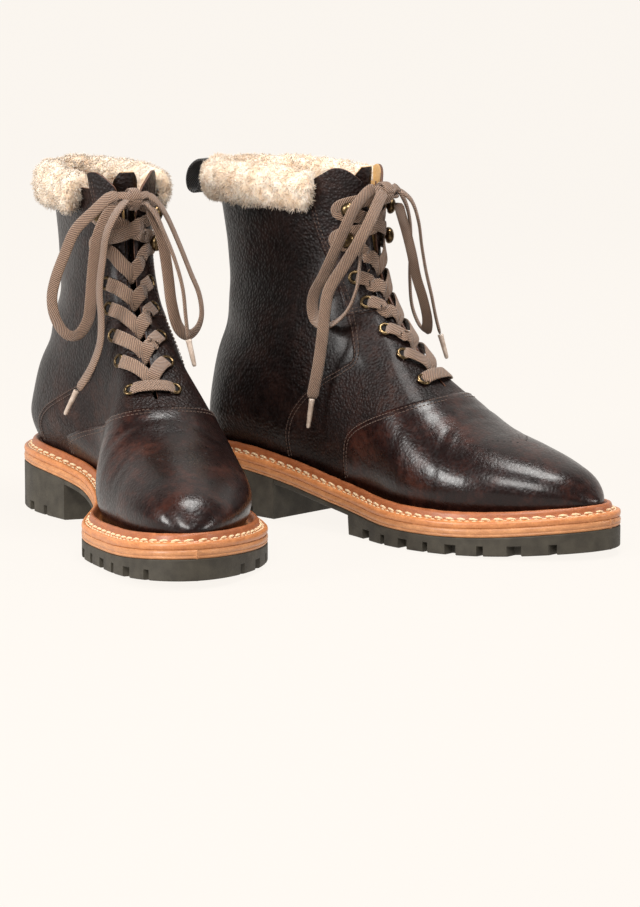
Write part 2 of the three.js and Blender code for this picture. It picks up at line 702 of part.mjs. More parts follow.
/** Free runs of lace by boot, hand-laid from the knot; x forward, y outward, z up. */
const FREE_LACES = {
  left: {
    loop_inner: [[139, -8, 204], [140, -14, 203], [139, -22, 196], [134, -33, 184], [130, -39, 169],
      [127, -44, 154], [126, -46, 142], [127, -44, 130], [129, -38, 121], [131, -31, 121],
      [134, -26, 130], [137, -25, 142], [139, -24, 160], [141, -22, 178], [142, -17, 191], [141, -10, 199]],
    end_inner: [[146, -5, 202], [149, -12, 195], [149, -18, 183], [147, -20, 168], [146, -22, 149],
      [146, -21, 132], [146, -22, 117], [144, -26, 104], [140, -30, 95], [137, -34, 88]],
    loop_outer: [[140, 10, 204], [140, 15, 200], [138, 22, 190], [136, 30, 173], [135, 37, 156],
      [136, 42, 143], [138, 43, 131], [142, 39, 123], [146, 32, 120], [149, 25, 126], [150, 21, 140],
      [148, 20, 152], [146, 19, 164], [144, 17, 178], [143, 12, 192], [142, 10, 197]],
    end_outer: [[145, 7, 200], [148, 13, 191], [150, 19, 177], [152, 24, 162], [154, 27, 148],
      [156, 28, 133], [158, 29, 119]],
    aglet_inner: [[136.6, -34.5, 87.2], [131, -40, 73]],
    aglet_outer: [[158.3, 29.2, 118], [161, 32, 103]],
  },
  right: {
    loop_outer: [[138, 9, 205], [137, 15, 202], [136, 24, 194], [133, 31, 180], [127, 34, 165],
      [120, 35, 152], [113, 35, 142], [111, 35, 133], [115, 36, 125], [125, 37, 123], [135, 36, 128],
      [142, 34, 137], [144, 30, 150], [142, 26, 164], [141, 21, 178], [141, 14, 190], [140, 9, 197]],
    end_outer: [[144, 8, 203], [147, 15, 198], [149, 24, 188], [146, 32, 174], [138, 36, 160],
      [131, 41, 146], [129, 43, 132], [128, 44, 117], [125, 44, 101], [122, 44.5, 87], [120.5, 45, 79]],
    loop_inner: [[138, -8, 205], [139, -13, 200], [138, -20, 190], [136, -25, 177], [132, -29, 162],
      [128, -33, 146], [126, -37, 129], [128, -41, 117], [134, -41, 113], [139, -37, 121],
      [140, -32, 134], [138, -28, 148], [138, -24, 162], [138, -19, 176], [139, -13, 188], [140, -9, 196]],
    end_inner: [[145, -6, 203], [149, -12, 196], [149, -18, 183], [147, -23, 168], [146, -28, 152],
      [146, -33, 137], [146, -37, 123], [147, -40, 112]],
    aglet_outer: [[120.3, 45.1, 78], [118, 46, 61]],
    aglet_inner: [[147.2, -40.3, 111], [150, -43, 97]],
  },
};

/** A round cord through the points, with a step about every three diameters. */
function cord(points, radius) {
  const path = new THREE.CatmullRomCurve3(points.map((p) => new THREE.Vector3(...p)));
  const section = new THREE.Shape().absarc(0, 0, radius, 0, 2 * Math.PI);
  const steps = Math.max(2, Math.round(path.getLength() / (5 * radius)));
  return new THREE.ExtrudeGeometry(section, { steps, extrudePath: path, curveSegments: 4 });
}

// ---- assembly ----

const NAMES = { outer: 'lateral', inner: 'medial' };

/** The pieces of one boot: [name, geometry, look]. */
function bootPieces(foot) {
  const cut = panels();
  const laces = FREE_LACES[foot];
  const pieces = [
    ['outsole', outsole(), 'rubber'],
    ['heel_block', heelBlock(), 'rubber'],
    ['midsole', midsole(), 'raw_leather'],
    ['welt', welt(), 'raw_leather'],
    ['insole', insole(), 'board'],
    ['shank', shank(), 'steel'],
    ['footbed', footbed(), 'shearling'],
    ['heel_counter', stiffener(-40, 62, 78), 'board'],
    ['toe_puff', stiffener(258, 340, 90), 'board'],
    ['vamp', cut.vamp, 'leather'],
    ['back_quarter', cut.back_quarter, 'leather'],
    ['lining', lining(), 'shearling'],
    ['cuff', cuff(), 'shearling'],
    ['tongue', tongue(), 'leather'],
    ['pull_tab', pullTab(), 'webbing'],
    ['lace', lace(), 'lace'],
  ];
  for (const [key, name] of Object.entries(NAMES)) {
    const side = key === 'outer' ? 1 : -1;
    pieces.push(
      [`facing_${name}`, cut[`facing_${key}`], 'leather'],
      [`quarter_${name}`, cut[`quarter_${key}`], 'leather'],
      [`eyelets_${name}`, hardware(side, 0, EYELETS, EYELET_PROFILE, EYELET_BORE), 'brass'],
      [`studs_${name}`, hardware(side, EYELETS, FASTENER_Z.length, STUD_PROFILE, 0), 'brass'],
      [`lace_loop_${name}`, cord(laces[`loop_${key}`], CORD_RADIUS), 'lace'],
      [`lace_end_${name}`, cord(laces[`end_${key}`], CORD_RADIUS), 'lace'],
      [`aglet_${name}`, cord(laces[`aglet_${key}`], AGLET_RADIUS), 'aglet'],
    );
  }
  return pieces;
}

/** The same geometry on the other foot. */
function mirrored(geometry) {
  const flipped = geometry.clone().scale(1, -1, 1);
  if (flipped.index) flipped.setIndex([...flipped.index.array].reverse());
  else {
    const flat = mergeVertices(flipped);
    flat.setIndex([...flat.index.array].reverse());
    return flat;
  }
  return flipped;
}

function boot(foot, turn, x, y) {
  const group = new THREE.Group();
  const middle = 150;   // the point of the boot that stands at x, y
  for (const [name, geometry, look] of bootPieces(foot)) {
    const [color, roughness, metalness] = LOOKS[look];
    const shape = foot === 'right' ? mirrored(geometry) : geometry.clone();
    shape.translate(-middle, 0, 0);
    const mesh = new THREE.Mesh(shape, new THREE.MeshStandardMaterial({ color, roughness, metalness }));
    mesh.name = `${foot}_${name}`;
    group.add(mesh);
  }
  group.rotation.z = THREE.MathUtils.degToRad(turn);
  group.position.set(x, y, 0);
  return group;
}

const pair = new THREE.Group();
pair.add(boot('left', -104.2, -77, 12.8));
pair.add(boot('right', -75.8, 77, -34.7));

export default pair;
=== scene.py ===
import json
import math

import bpy
import numpy as np
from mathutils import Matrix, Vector, noise


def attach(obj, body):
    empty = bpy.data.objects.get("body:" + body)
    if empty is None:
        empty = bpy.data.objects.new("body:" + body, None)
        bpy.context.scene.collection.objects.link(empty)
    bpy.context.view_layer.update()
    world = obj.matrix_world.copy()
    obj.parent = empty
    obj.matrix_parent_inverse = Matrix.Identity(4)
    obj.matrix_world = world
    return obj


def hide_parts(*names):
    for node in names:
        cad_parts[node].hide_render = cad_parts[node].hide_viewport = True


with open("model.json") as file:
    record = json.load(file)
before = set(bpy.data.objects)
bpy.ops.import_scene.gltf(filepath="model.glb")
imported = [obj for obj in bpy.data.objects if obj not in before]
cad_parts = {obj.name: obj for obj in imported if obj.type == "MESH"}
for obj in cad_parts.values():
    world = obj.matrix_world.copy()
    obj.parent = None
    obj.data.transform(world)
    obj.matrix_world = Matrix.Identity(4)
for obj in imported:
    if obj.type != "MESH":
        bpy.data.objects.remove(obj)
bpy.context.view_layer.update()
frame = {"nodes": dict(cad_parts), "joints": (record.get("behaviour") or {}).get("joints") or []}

MM = 0.001

# ---- driving dimensions ----
# The outlines, seams and lace routes are those of the CAD model.
HEEL_END, TOE_END = -11.0, 310.0
WELT_WIDTH = 8.5
WELT_THICK = 4.0
MIDSOLE_THICK = 4.5
GAP = 0.5
FOOT_BACK = 1.5
# How softly the foot's shape ends behind the heel.
HEEL_BLEND = 5.0
HEEL_BREAST, FOREPART = 84.0, 151.0
TREAD_WAIST = 2.9
COLLAR_Z = 216.0
SHAFT_TOP = 205.0
SHAFT_SHIFT = 1.0
FOOT_POWER, LEG_POWER = 2.25, 2.15
LEATHER_THICK = 1.5
TONGUE_DEPTH, TONGUE_THICK = 6.9, 2.0
TONGUE_HALF = 13.0
EYELETS = 5
FASTENER_Y = 12.5
FASTENER_Z = [93, 107, 120.5, 135.5, 150, 173, 192]
LACE_WIDE, LACE_THICK = 8.4, 1.4
CORD_WIDE, CORD_THICK = 7.2, 2.0
KNOT = (138, SHAFT_SHIFT, 201.5)
TAB_HINGE = (2, SHAFT_SHIFT)


def curve(points):
    """A smooth curve through the points, level outside them."""
    xs, ys = np.array(points, float).T
    steps = np.diff(xs)
    secants = np.diff(ys) / steps
    slopes = np.concatenate([secants[:1], (secants[:-1] * steps[1:] + secants[1:] * steps[:-1])
                             / (steps[:-1] + steps[1:]), secants[-1:]])

    def at(x):
        x = np.clip(x, xs[0], xs[-1])
        i = np.clip(np.searchsorted(xs, x, side="right") - 1, 0, len(xs) - 2)
        t = (x - xs[i]) / steps[i]
        rise = (2 * t**3 - 3 * t**2 + 1) * ys[i] + (3 * t**2 - 2 * t**3) * ys[i + 1]
        return rise + steps[i] * ((t**3 - 2 * t**2 + t) * slopes[i] + (t**3 - t**2) * slopes[i + 1])
    return at


# Heights and half widths, by x along the foot or by z up the leg.
FEATHER = curve([[0, 38], [60, 37], [100, 32], [140, 25.5], [180, 21], [220, 20.2], [260, 22], [310, 27]])
SPRING = curve([[0, 0], [170, 0], [180, 0], [230, 0.6], [270, 2], [310, 5]])
CENTRE = curve([[0, 0], [40, 0], [120, 6], [190, 4], [240, 0], [310, -9]])
SOLE_OUTER = curve([[0, 38], [45, 41], [110, 37], [150, 40], [195, 52], [235, 54], [310, 45]])
SOLE_INNER = curve([[0, 38], [45, 41], [110, 29], [150, 33], [200, 51], [240, 47], [310, 44]])
INSTEP = curve([[20, 95], [60, 120], [100, 132], [130, 126], [155, 115], [190, 88], [220, 71], [250, 62],
                [275, 53.5], [290, 46], [301.5, 33]])
SHAFT_BACK = curve([[36, 13], [55, 10.5], [75, 11.5], [100, 12.5], [130, 12], [160, 10], [205, 2], [225, 0]])
SHAFT_FRONT = curve([[36, 100], [80, 112], [110, 124], [140, 123], [170, 125], [205, 131], [225, 133]])
SHAFT_HALF = curve([[36, 33], [55, 35.5], [75, 32], [100, 26], [130, 23.5], [160, 23], [205, 26], [225, 27]])
# The surface is found along rays from this line inside the boot; each ray's start is blurred along it.
SPINE_POINTS = [[255, 36], [220, 42], [180, 50], [140, 60], [105, 72], [80, 90], [68, 115], [65, 150],
                [66, 222]]
SPINE_BLUR = 16.0
# Which way the free laces' flat sides face where they leave the knot: ahead, outwards and up.
FLAT_SIDE = {"left": np.array([0.4, 0.9, 0.1]), "right": np.array([0.75, 0.65, 0.1])}
COLLAR_LINE = curve([[-40, 205], [96, 205.5], [106, 211.5], [115, 216], [121, 215], [127, 210], [133, 200],
                     [150, 192]])

# Seams in side view as [x, z] from the top down; 1 is the outer side of the foot and -1 the inner side.
VAMP_SEAM = {1: [[206, 91], [197, 86], [180, 78.5], [158, 70], [144, 62], [138, 50], [137, 10]],
             -1: [[206, 91], [197, 86], [170, 75], [130, 66], [98, 57], [82, 47], [77, 10]]}
BACK_SEAM = {1: [[94, 235], [99, 184], [112, 155], [128, 128], [139, 106], [133, 99], [118, 90], [100, 75],
                 [90, 55], [87, 10]],
             -1: [[108, 235], [116, 175], [122, 150], [127, 124], [116, 96], [90, 81], [62, 66], [48, 48],
                  [44, 10]]}
CROSS_LEVEL = [[126, 127], [172, 139]]
CROSS_SEAM = {1: [[126, 127], [172, 139]], -1: [[125, 127], [172, 139]]}

# Routes as [x, y, z] from the knot on; an aglet has its two ends.
FREE_LACES = {
    "left": {
        "loop_medial": [[139, -8, 204], [140, -14, 203], [139, -22, 196], [134, -33, 184], [130, -39, 169],
                        [127, -44, 154], [126, -46, 142], [127, -44, 130], [129, -38, 121], [131, -31, 121],
                        [134, -26, 130], [137, -25, 142], [139, -24, 160], [141, -22, 178], [142, -17, 191],
                        [141, -10, 199]],
        "end_medial": [[146, -5, 202], [149, -12, 195], [149, -18, 183], [147, -20, 168], [146, -22, 149],
                       [146, -21, 132], [146, -22, 117], [144, -26, 104], [140, -30, 95], [137, -34, 88]],
        "loop_lateral": [[140, 10, 204], [140, 15, 200], [138, 22, 190], [136, 30, 173], [135, 37, 156],
                         [136, 42, 143], [138, 43, 131], [142, 39, 123], [146, 32, 120], [149, 25, 126],
                         [150, 21, 140], [148, 20, 152], [146, 19, 164], [144, 17, 178], [143, 12, 192],
                         [142, 10, 197]],
        "end_lateral": [[145, 7, 200], [148, 13, 191], [150, 19, 177], [152, 24, 162], [154, 27, 148],
                        [156, 28, 133], [158, 29, 119]],
        "aglet_medial": [[136.6, -34.5, 87.2], [131, -40, 73]],
        "aglet_lateral": [[158.3, 29.2, 118], [161, 32, 103]],
    },
    "right": {
        "loop_lateral": [[138, 9, 205], [137, 15, 202], [136, 24, 194], [133, 31, 180], [127, 34, 165],
                         [120, 35, 152], [113, 35, 142], [111, 35, 133], [115, 36, 125], [125, 37, 123],
                         [135, 36, 128], [142, 34, 137], [144, 30, 150], [142, 26, 164], [141, 21, 178],
                         [141, 14, 190], [140, 9, 197]],
        "end_lateral": [[144, 8, 203], [147, 15, 198], [149, 24, 188], [146, 32, 174], [138, 36, 160],
                        [131, 41, 146], [129, 43, 132], [128, 44, 117], [125, 44, 101], [122, 44.5, 87],
                        [120.5, 45, 79]],
        "loop_medial": [[138, -8, 205], [139, -13, 200], [138, -20, 190], [136, -25, 177], [132, -29, 162],
                        [128, -33, 146], [126, -37, 129], [128, -41, 117], [134, -41, 113], [139, -37, 121],
                        [140, -32, 134], [138, -28, 148], [138, -24, 162], [138, -19, 176], [139, -13, 188],
                        [140, -9, 196]],
        "end_medial": [[145, -6, 203], [149, -12, 196], [149, -18, 183], [147, -23, 168], [146, -28, 152],
                       [146, -33, 137], [146, -37, 123], [147, -40, 112]],
        "aglet_lateral": [[120.3, 45.1, 78], [118, 46, 61]],
        "aglet_medial": [[147.2, -40.3, 111], [150, -43, 97]],
    },
}


# ---- arrays of points and faces ----

def unit(vectors):
    return vectors / np.linalg.norm(vectors, axis=-1, keepdims=True)


def distances(line):
    """How far along the line each of its points is."""
    return np.concatenate([[0], np.cumsum(np.linalg.norm(np.diff(line, axis=0), axis=1))])


def tube_faces(rings, sides, closed=False, flip=False):
    """Quads between rings of points numbered ring by ring; a tube that isn't closed gets both end caps."""
    faces = []
    for i in range(rings if closed else rings - 1):
        here, there = i * sides, (i + 1) % rings * sides
        for j in range(sides):
            n = (j + 1) % sides
            faces.append([here + j, here + n, there + n, there + j])
    if not closed:
        faces += [list(range(sides))[::-1], list(range((rings - 1) * sides, rings * sides))]
    return [face[:1] + face[:0:-1] for face in faces] if flip else faces


def copies(shape, per, count):
    """The faces of count copies of a shape that has per points."""
    return [[corner + first * per for corner in face] for first in range(count) for face in shape]


def joined(parts):
    """One mesh from several pairs of points and faces."""
    points, faces, count = [], [], 0
    for some, its in parts:
        points.append(some)
        faces += [[corner + count for corner in face] for face in its]
        count += len(some)
    return np.vstack(points), faces


# ---- materials ----

class Look:
    """A node material with a few helpers; lengths are in millimetres."""

    def __init__(self, name, **sockets):
        self.material = bpy.data.materials.new(name)
        self.material.use_nodes = True
        self.nodes = self.material.node_tree.nodes
        self.shader = self.nodes["Principled BSDF"]
        self.place = self.node("ShaderNodeTexCoord").outputs["Object"]
        for key, value in sockets.items():
            self.shader.inputs[key.replace("_", " ")].default_value = value

    def node(self, kind, **inputs):
        made = self.nodes.new(kind)
        for key, value in inputs.items():
            self.join(value, made.inputs[key.replace("_", " ")])
        return made

    def join(self, value, socket):
        if isinstance(value, bpy.types.NodeSocket):
            self.material.node_tree.links.new(value, socket)
        else:
            socket.default_value = value

    def noise(self, size, detail=3, stretch=None, rough=0.5):
        place = self.place
        if stretch:
            place = self.node("ShaderNodeMapping", Vector=place, Scale=stretch).outputs[0]
        made = self.node("ShaderNodeTexNoise", Vector=place, Scale=1 / (size * MM), Detail=detail,
                         Roughness=rough)
        return made.outputs["Fac"]

    def cells(self, size):
        made = self.node("ShaderNodeTexVoronoi", Vector=self.place, Scale=1 / (size * MM))
        return made.outputs["Distance"]

    def ramp(self, value, *stops):
        made = self.node("ShaderNodeValToRGB", Fac=value)
        elements = made.color_ramp.elements
        while len(elements) < len(stops):
            elements.new(0.5)
        for element, (at, color) in zip(elements, stops):
            element.position = at
            element.color = (*color, 1) if isinstance(color, tuple) else (color, color, color, 1)
        return made.outputs["Color"]

    def mix(self, amount, a, b, kind="MIX"):
        made = self.nodes.new("ShaderNodeMix")
        made.data_type = "RGBA"
        made.blend_type = kind
        self.join(amount, made.inputs[0])
        self.join(a, made.inputs[6])
        self.join(b, made.inputs[7])
        return made.outputs[2]

    def math(self, kind, a, b):
        made = self.nodes.new("ShaderNodeMath")
        made.operation = kind
        self.join(a, made.inputs[0])
        self.join(b, made.inputs[1])
        return made.outputs[0]

    def bump(self, *layers):
        """Layers of (height, depth in mm, strength), one on the other."""
        normal = None
        for value, depth, strength in layers:
            made = self.node("ShaderNodeBump", Height=value, Distance=depth * MM, Strength=strength)
            if normal:
                self.join(normal, made.inputs["Normal"])
            normal = made.outputs["Normal"]
        self.join(normal, self.shader.inputs["Normal"])

    def color(self, value):
        self.join(value, self.shader.inputs["Base Color"])

    def rough(self, value):
        self.join(value, self.shader.inputs["Roughness"])


def leather(name, grain, dark, middle, light, shine, bumpy, polish):
    """Waxed dark leather with a pebble grain of the given size."""
    look = Look(name, Coat_Weight=polish, Coat_Roughness=0.2, Specular_IOR_Level=0.2)
    clouds = look.noise(26, 4)
    fine = look.noise(5, 5, rough=0.6)
    pebbles = look.cells(grain)
    tone = look.ramp(look.mix(0.45, clouds, fine), (0.36, dark), (0.5, middle), (0.68, light))
    worn = look.ramp(pebbles, (0.15, (1, 1, 1)), (0.75, (0.6, 0.55, 0.53)))
    look.color(look.mix(0.55, tone, worn, "MULTIPLY"))
    look.rough(look.ramp(look.mix(0.5, fine, pebbles), (0.25, shine), (0.8, shine + 0.22)))
    folds = look.noise(grain * 1.6, 5, rough=0.62)
    look.bump((clouds, 1.0, 0.25), (folds, 0.5, bumpy * 0.7), (pebbles, 0.6, bumpy))
    return look.material


def tan_leather(name, dark, light, shine=0.42):
    look = Look(name, Coat_Weight=0.25, Coat_Roughness=0.3, Specular_IOR_Level=0.4)
    streaks = look.noise(7, 5, stretch=(1, 1, 2.5), rough=0.65)
    fine = look.noise(0.9, 4)
    middle = tuple((a + b) / 2 for a, b in zip(dark, light))
    look.color(look.ramp(look.mix(0.4, streaks, fine), (0.3, dark), (0.52, middle), (0.7, light)))
    look.rough(look.ramp(streaks, (0.3, shine), (0.75, shine + 0.25)))
    look.bump((streaks, 0.35, 0.5), (fine, 0.15, 0.5))
    return look.material


def rubber():
    look = Look("rubber", Specular_IOR_Level=0.35)
    dust = look.noise(9, 5)
    fine = look.noise(0.7, 3)
    look.color(look.ramp(dust, (0.35, (0.030, 0.025, 0.018)), (0.7, (0.055, 0.047, 0.034))))
    look.rough(look.ramp(fine, (0.3, 0.5), (0.7, 0.75)))
    look.bump((dust, 0.3, 0.3), (fine, 0.08, 0.4))
    return look.material


def pile(name, dark, middle, light):
    look = Look(name, Roughness=0.95, Sheen_Weight=0.5, Sheen_Roughness=0.5, Specular_IOR_Level=0.15,
                Subsurface_Weight=0.25, Subsurface_Radius=(0.006, 0.0045, 0.003), Subsurface_Scale=0.6)
    tufts = look.noise(9, 4, rough=0.6)
    fibres = look.noise(0.8, 3, stretch=(1, 1, 0.35))
    tone = look.ramp(tufts, (0.33, dark), (0.48, middle), (0.62, light))
    shade = look.ramp(fibres, (0.3, (0.8, 0.77, 0.73)), (0.6, (1, 1, 1)))
    look.color(look.mix(0.8, tone, shade, "MULTIPLY"))
    look.bump((tufts, 1.5, 0.5), (fibres, 0.4, 0.7))
    return look.material


def woven(name, dark, light, across, along):
    """Flat braid; the mesh's own map runs across and along it in metres."""
    look = Look(name, Roughness=0.85, Sheen_Weight=0.25, Specular_IOR_Level=0.25)
    flat = look.node("ShaderNodeUVMap").outputs[0]
    heights = []
    for slant in (1, -1):
        place = look.node("ShaderNodeMapping", Vector=flat, Scale=(across, along * slant, 1),
                          Rotation=(0, 0, math.radians(45 * slant))).outputs[0]
        wave = look.node("ShaderNodeTexWave", Vector=place, Scale=1.0, Distortion=0.4)
        heights.append(wave.outputs["Fac"])
    weave = look.math("MAXIMUM", *heights)
    fuzz = look.noise(0.35, 3)
    wide = look.noise(12, 3)
    tone = look.ramp(look.mix(0.5, weave, fuzz), (0.25, dark), (0.7, light))
    look.color(look.mix(0.5, tone, look.ramp(wide, (0.3, (0.75, 0.72, 0.7)), (0.7, (1, 1, 1))), "MULTIPLY"))
    look.bump((weave, 0.7, 1.0), (fuzz, 0.2, 0.6))
    return look.material


def metal(name, dark, light):
    look = Look(name, Metallic=1.0)
    tarnish = look.noise(3, 5, rough=0.7)
    look.color(look.ramp(tarnish, (0.35, dark), (0.65, light)))
    look.rough(look.ramp(tarnish, (0.3, 0.42), (0.7, 0.22)))
    look.bump((look.noise(0.6, 3), 0.06, 0.4))
    return look.material


def thread(name, dark, light):
    look = Look(name, Roughness=0.75, Sheen_Weight=0.2)
    twist = look.noise(0.5, 3)
    look.color(look.ramp(twist, (0.3, dark), (0.7, light)))
    look.bump((twist, 0.15, 0.7))
    return look.material


def plain(name, dark, light, size, **sockets):
    """A quiet mottled surface for small or hidden pieces."""
    look = Look(name, **sockets)
    mottle = look.noise(size, 4)
    look.color(look.ramp(mottle, (0.35, dark), (0.65, light)))
    look.bump((mottle, 0.15, 0.4))
    return look.material


LOOKS = {
    "vamp": leather("vamp leather", 1.9, (0.004, 0.0012, 0.0010), (0.011, 0.0034, 0.0027),
                    (0.045, 0.013, 0.008), 0.24, 0.24, 0.28),
    "shaft": leather("grained leather", 2.0, (0.003, 0.0014, 0.0012), (0.0075, 0.0032, 0.0027),
                     (0.024, 0.0105, 0.008), 0.34, 0.95, 0.14),
    "quarter": leather("rough leather", 1.8, (0.004, 0.0016, 0.0013), (0.0105, 0.0038, 0.0030),
                       (0.036, 0.014, 0.009), 0.38, 0.95, 0.1),
    "raw_edge": tan_leather("raw leather edge", (0.04, 0.014, 0.008), (0.16, 0.065, 0.032), 0.5),
    "inner_leather": tan_leather("tan lining leather", (0.36, 0.2, 0.07), (0.62, 0.38, 0.15), 0.5),
    "welt_rim": tan_leather("welt rim", (0.20, 0.052, 0.015), (0.42, 0.135, 0.045)),
    "welt_ledge": tan_leather("welt ledge", (0.34, 0.105, 0.03), (0.66, 0.27, 0.095), 0.36),
    "midsole": tan_leather("midsole edge", (0.32, 0.115, 0.04), (0.62, 0.29, 0.12), 0.4),
    "rubber": rubber(),
    "fur": pile("shearling", (0.56, 0.40, 0.27), (0.71, 0.56, 0.42), (0.80, 0.69, 0.57)),
    # The cuff's shearling again, made darker for the lining and footbed inside the boot: painted shade.
    "fur_inside": pile("shearling lining", (0.36, 0.23, 0.13), (0.6, 0.44, 0.29), (0.76, 0.62, 0.46)),
    "lace": woven("woven lace", (0.12, 0.070, 0.046), (0.36, 0.225, 0.15), 300, 300),
    "webbing": woven("black webbing", (0.004, 0.004, 0.004), (0.022, 0.02, 0.019), 230, 230),
    "brass": metal("antique brass", (0.035, 0.022, 0.012), (0.22, 0.15, 0.075)),
    "steel": metal("steel", (0.3, 0.3, 0.3), (0.5, 0.5, 0.5)),
    "aglet": plain("aglet", (0.36, 0.27, 0.21), (0.56, 0.45, 0.37), 4, Roughness=0.28, Coat_Weight=0.5),
    "seam_thread": thread("seam thread", (0.035, 0.017, 0.011), (0.11, 0.058, 0.036)),
    "welt_thread": thread("welt thread", (0.46, 0.27, 0.13), (0.86, 0.66, 0.42)),
    # Near-black discs in the punched holes and in the eyelets' openings: painted shade.
    "hole": plain("dark hole", (0.003, 0.002, 0.002), (0.006, 0.004, 0.004), 1, Roughness=0.9),
    "board": plain("leatherboard", (0.25, 0.15, 0.08), (0.4, 0.27, 0.16), 3, Roughness=0.85),
}


# ---- stage ----

def stage():
    """A pale floor that curves up into the backdrop, and soft lights."""
    wall = Look("backdrop", Roughness=1.0, Specular_IOR_Level=0.0, Emission_Strength=0.955)
    wall.color(wall.ramp(wall.noise(900, 1), (0.3, (0.028, 0.027, 0.026)), (0.7, (0.032, 0.031, 0.03))))
    wall.join((0.98, 0.935, 0.88, 1), wall.shader.inputs["Emission Color"])
    half, back, rise, bend = 6.0, 3.2, 6.0, 1.2
    side = [(-half, 0.0), (back - bend, 0.0)]
    for a in np.linspace(0.1, 1.57, 14):
        side.append((back - bend + bend * math.sin(a), bend - bend * math.cos(a)))
    side.append((back, rise))
    ahead = Vector((0.527, 0.85, 0))
    across = Vector((0.85, -0.527, 0))
    points = [ahead * u + across * v + Vector((0, 0, z)) for u, z in side for v in (-half, half)]
    faces = [(2 * i, 2 * i + 1, 2 * i + 3, 2 * i + 2) for i in range(len(side) - 1)]
    mesh = bpy.data.meshes.new("backdrop")
    mesh.from_pydata(points, [], faces)
    mesh.polygons.foreach_set("use_smooth", [True] * len(faces))
    mesh.materials.append(wall.material)
    backdrop = bpy.data.objects.new("backdrop", mesh)
    bpy.context.scene.collection.objects.link(backdrop)

    world = bpy.data.worlds.new("studio")
    world.use_nodes = True
    sky = world.node_tree.nodes["Background"].inputs
    sky["Color"].default_value = (1.0, 0.975, 0.945, 1)
    sky["Strength"].default_value = 0.17
    bpy.context.scene.world = world
    bpy.context.scene.view_settings.view_transform = "Standard"
    lamp("key", (-1.4, -1.5, 1.9), 0.8, 54, (1, 0.98, 0.95))
    lamp("left strip", (-1.9, 0.1, 0.7), 0.6, 36, (1, 0.99, 0.97))
    lamp("right strip", (1.4, -1.6, 0.7), 0.4, 11, (1, 0.98, 0.95))
    lamp("top", (0.25, -0.35, 2.0), 0.7, 36, (1, 0.985, 0.96))


def lamp(name, place, size, power, color):
    """A square area light turned to the middle of the boots."""
    light = bpy.data.lights.new(name, "AREA")
    light.size = size
    light.energy = power
    light.color = color
    made = bpy.data.objects.new(name, light)
    made.location = place
    made.rotation_euler = (Vector((0, 0, 0.1)) - Vector(place)).to_track_quat("-Z", "Y").to_euler()
    bpy.context.scene.collection.objects.link(made)


def camera():
    """The camera of the three-quarter view, seen from low down and far away."""
    azimuth, elevation, distance = math.radians(-31.8), math.radians(9.03), 2.390
    target = Vector((0.0258, -0.0294, 0.080))
    way = Vector((math.sin(azimuth) * math.cos(elevation), -math.cos(azimuth) * math.cos(elevation),
                  math.sin(elevation)))
    lens = bpy.data.cameras.new("camera")
    lens.lens = 158.4
    lens.shift_x = -0.0027
    lens.shift_y = -0.0591
    made = bpy.data.objects.new("camera", lens)
    made.location = target + way * distance
    made.rotation_euler = (-way).to_track_quat("-Z", "Y").to_euler()
    bpy.context.scene.collection.objects.link(made)
    bpy.context.scene.camera = made


# ---- placing ----

class Boot:
    """Where one boot stands; its hinges' places in the frame give its direction."""

    def __init__(self, foot):
        joints = {joint["name"]: joint for joint in frame["joints"]}
        throat = np.array(joints[f"{foot}_tongue_fold"]["pos_m"][:2]) / MM
        tab = np.array(joints[f"{foot}_pull_tab_lift"]["pos_m"][:2]) / MM
        self.foot = foot
        self.side = 1 if foot == "left" else -1
        self.ahead = unit(throat - tab)
        self.out = self.side * np.array([-self.ahead[1], self.ahead[0]])
        self.origin = tab - TAB_HINGE[0] * self.ahead - TAB_HINGE[1] * self.out

    def world(self, points):
        """Points of the boot's own frame, in metres in the shared frame."""
        points = np.asarray(points, float)
        flat = self.origin + points[:, :1] * self.ahead + points[:, 1:2] * self.out
        return np.column_stack([flat, points[:, 2]]) * MM

    def name(self, piece):
        return f"{self.foot}_{piece}"


def place(boot, name, points, faces, looks, body="boot", nodes=(), slot=None, which=None, flat=None,
          smooth=True):
    """Makes a piece from points in the boot's frame.

    which gives each face's place in looks, and flat each point's place on a map in millimetres.
    """
    if boot.side < 0:
        faces = [face[::-1] for face in faces]
    mesh = bpy.data.meshes.new(boot.name(name))
    mesh.from_pydata(boot.world(points).tolist(), [], faces)
    mesh.polygons.foreach_set("use_smooth", [smooth] * len(mesh.polygons))
    for look in looks:
        mesh.materials.append(LOOKS[look])
    if which is not None:
        mesh.polygons.foreach_set("material_index", which)
    if flat is not None:
        corners = np.zeros(len(mesh.loops), dtype=int)
        mesh.loops.foreach_get("vertex_index", corners)
        layer = mesh.uv_layers.new(name="UVMap")
        layer.data.foreach_set("uv", (np.asarray(flat)[corners] * MM).ravel())
    made = bpy.data.objects.new(boot.name(name), mesh)
    bpy.context.scene.collection.objects.link(made)
    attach(made, boot.name(body))
    if nodes:
        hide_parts(*(boot.name(node) for node in nodes))
    return made


# ---- the upper's surface ----

def round_ends(x, x0, x1, heel_radius, toe_radius):
    """The share of the full width left at x, from 0 at both ends to 1 between their radii."""
    a = np.clip((x - x0) / heel_radius, 0, 1)
    b = np.clip((x1 - x) / toe_radius, 0, 1)
    return np.sqrt(1 - (1 - a) ** 2.2) * np.sqrt(1 - (1 - b) ** 2.1)


def edge_y(x, side, inset=0.0, squeeze=1.0):
    """y of the sole's edge on a side, moved in by inset and narrowed by squeeze."""
    half = np.where(side > 0, SOLE_OUTER(x), SOLE_INNER(x)) - inset
    ends = round_ends(x, HEEL_END + inset, TOE_END - inset, 44 - 0.3 * inset, 86 - 0.3 * inset)
    return CENTRE(x) + side * np.maximum(half * ends * squeeze, 0.4)


def superellipse(a, b, power):
    return (a**power + b**power) ** (1 / power)


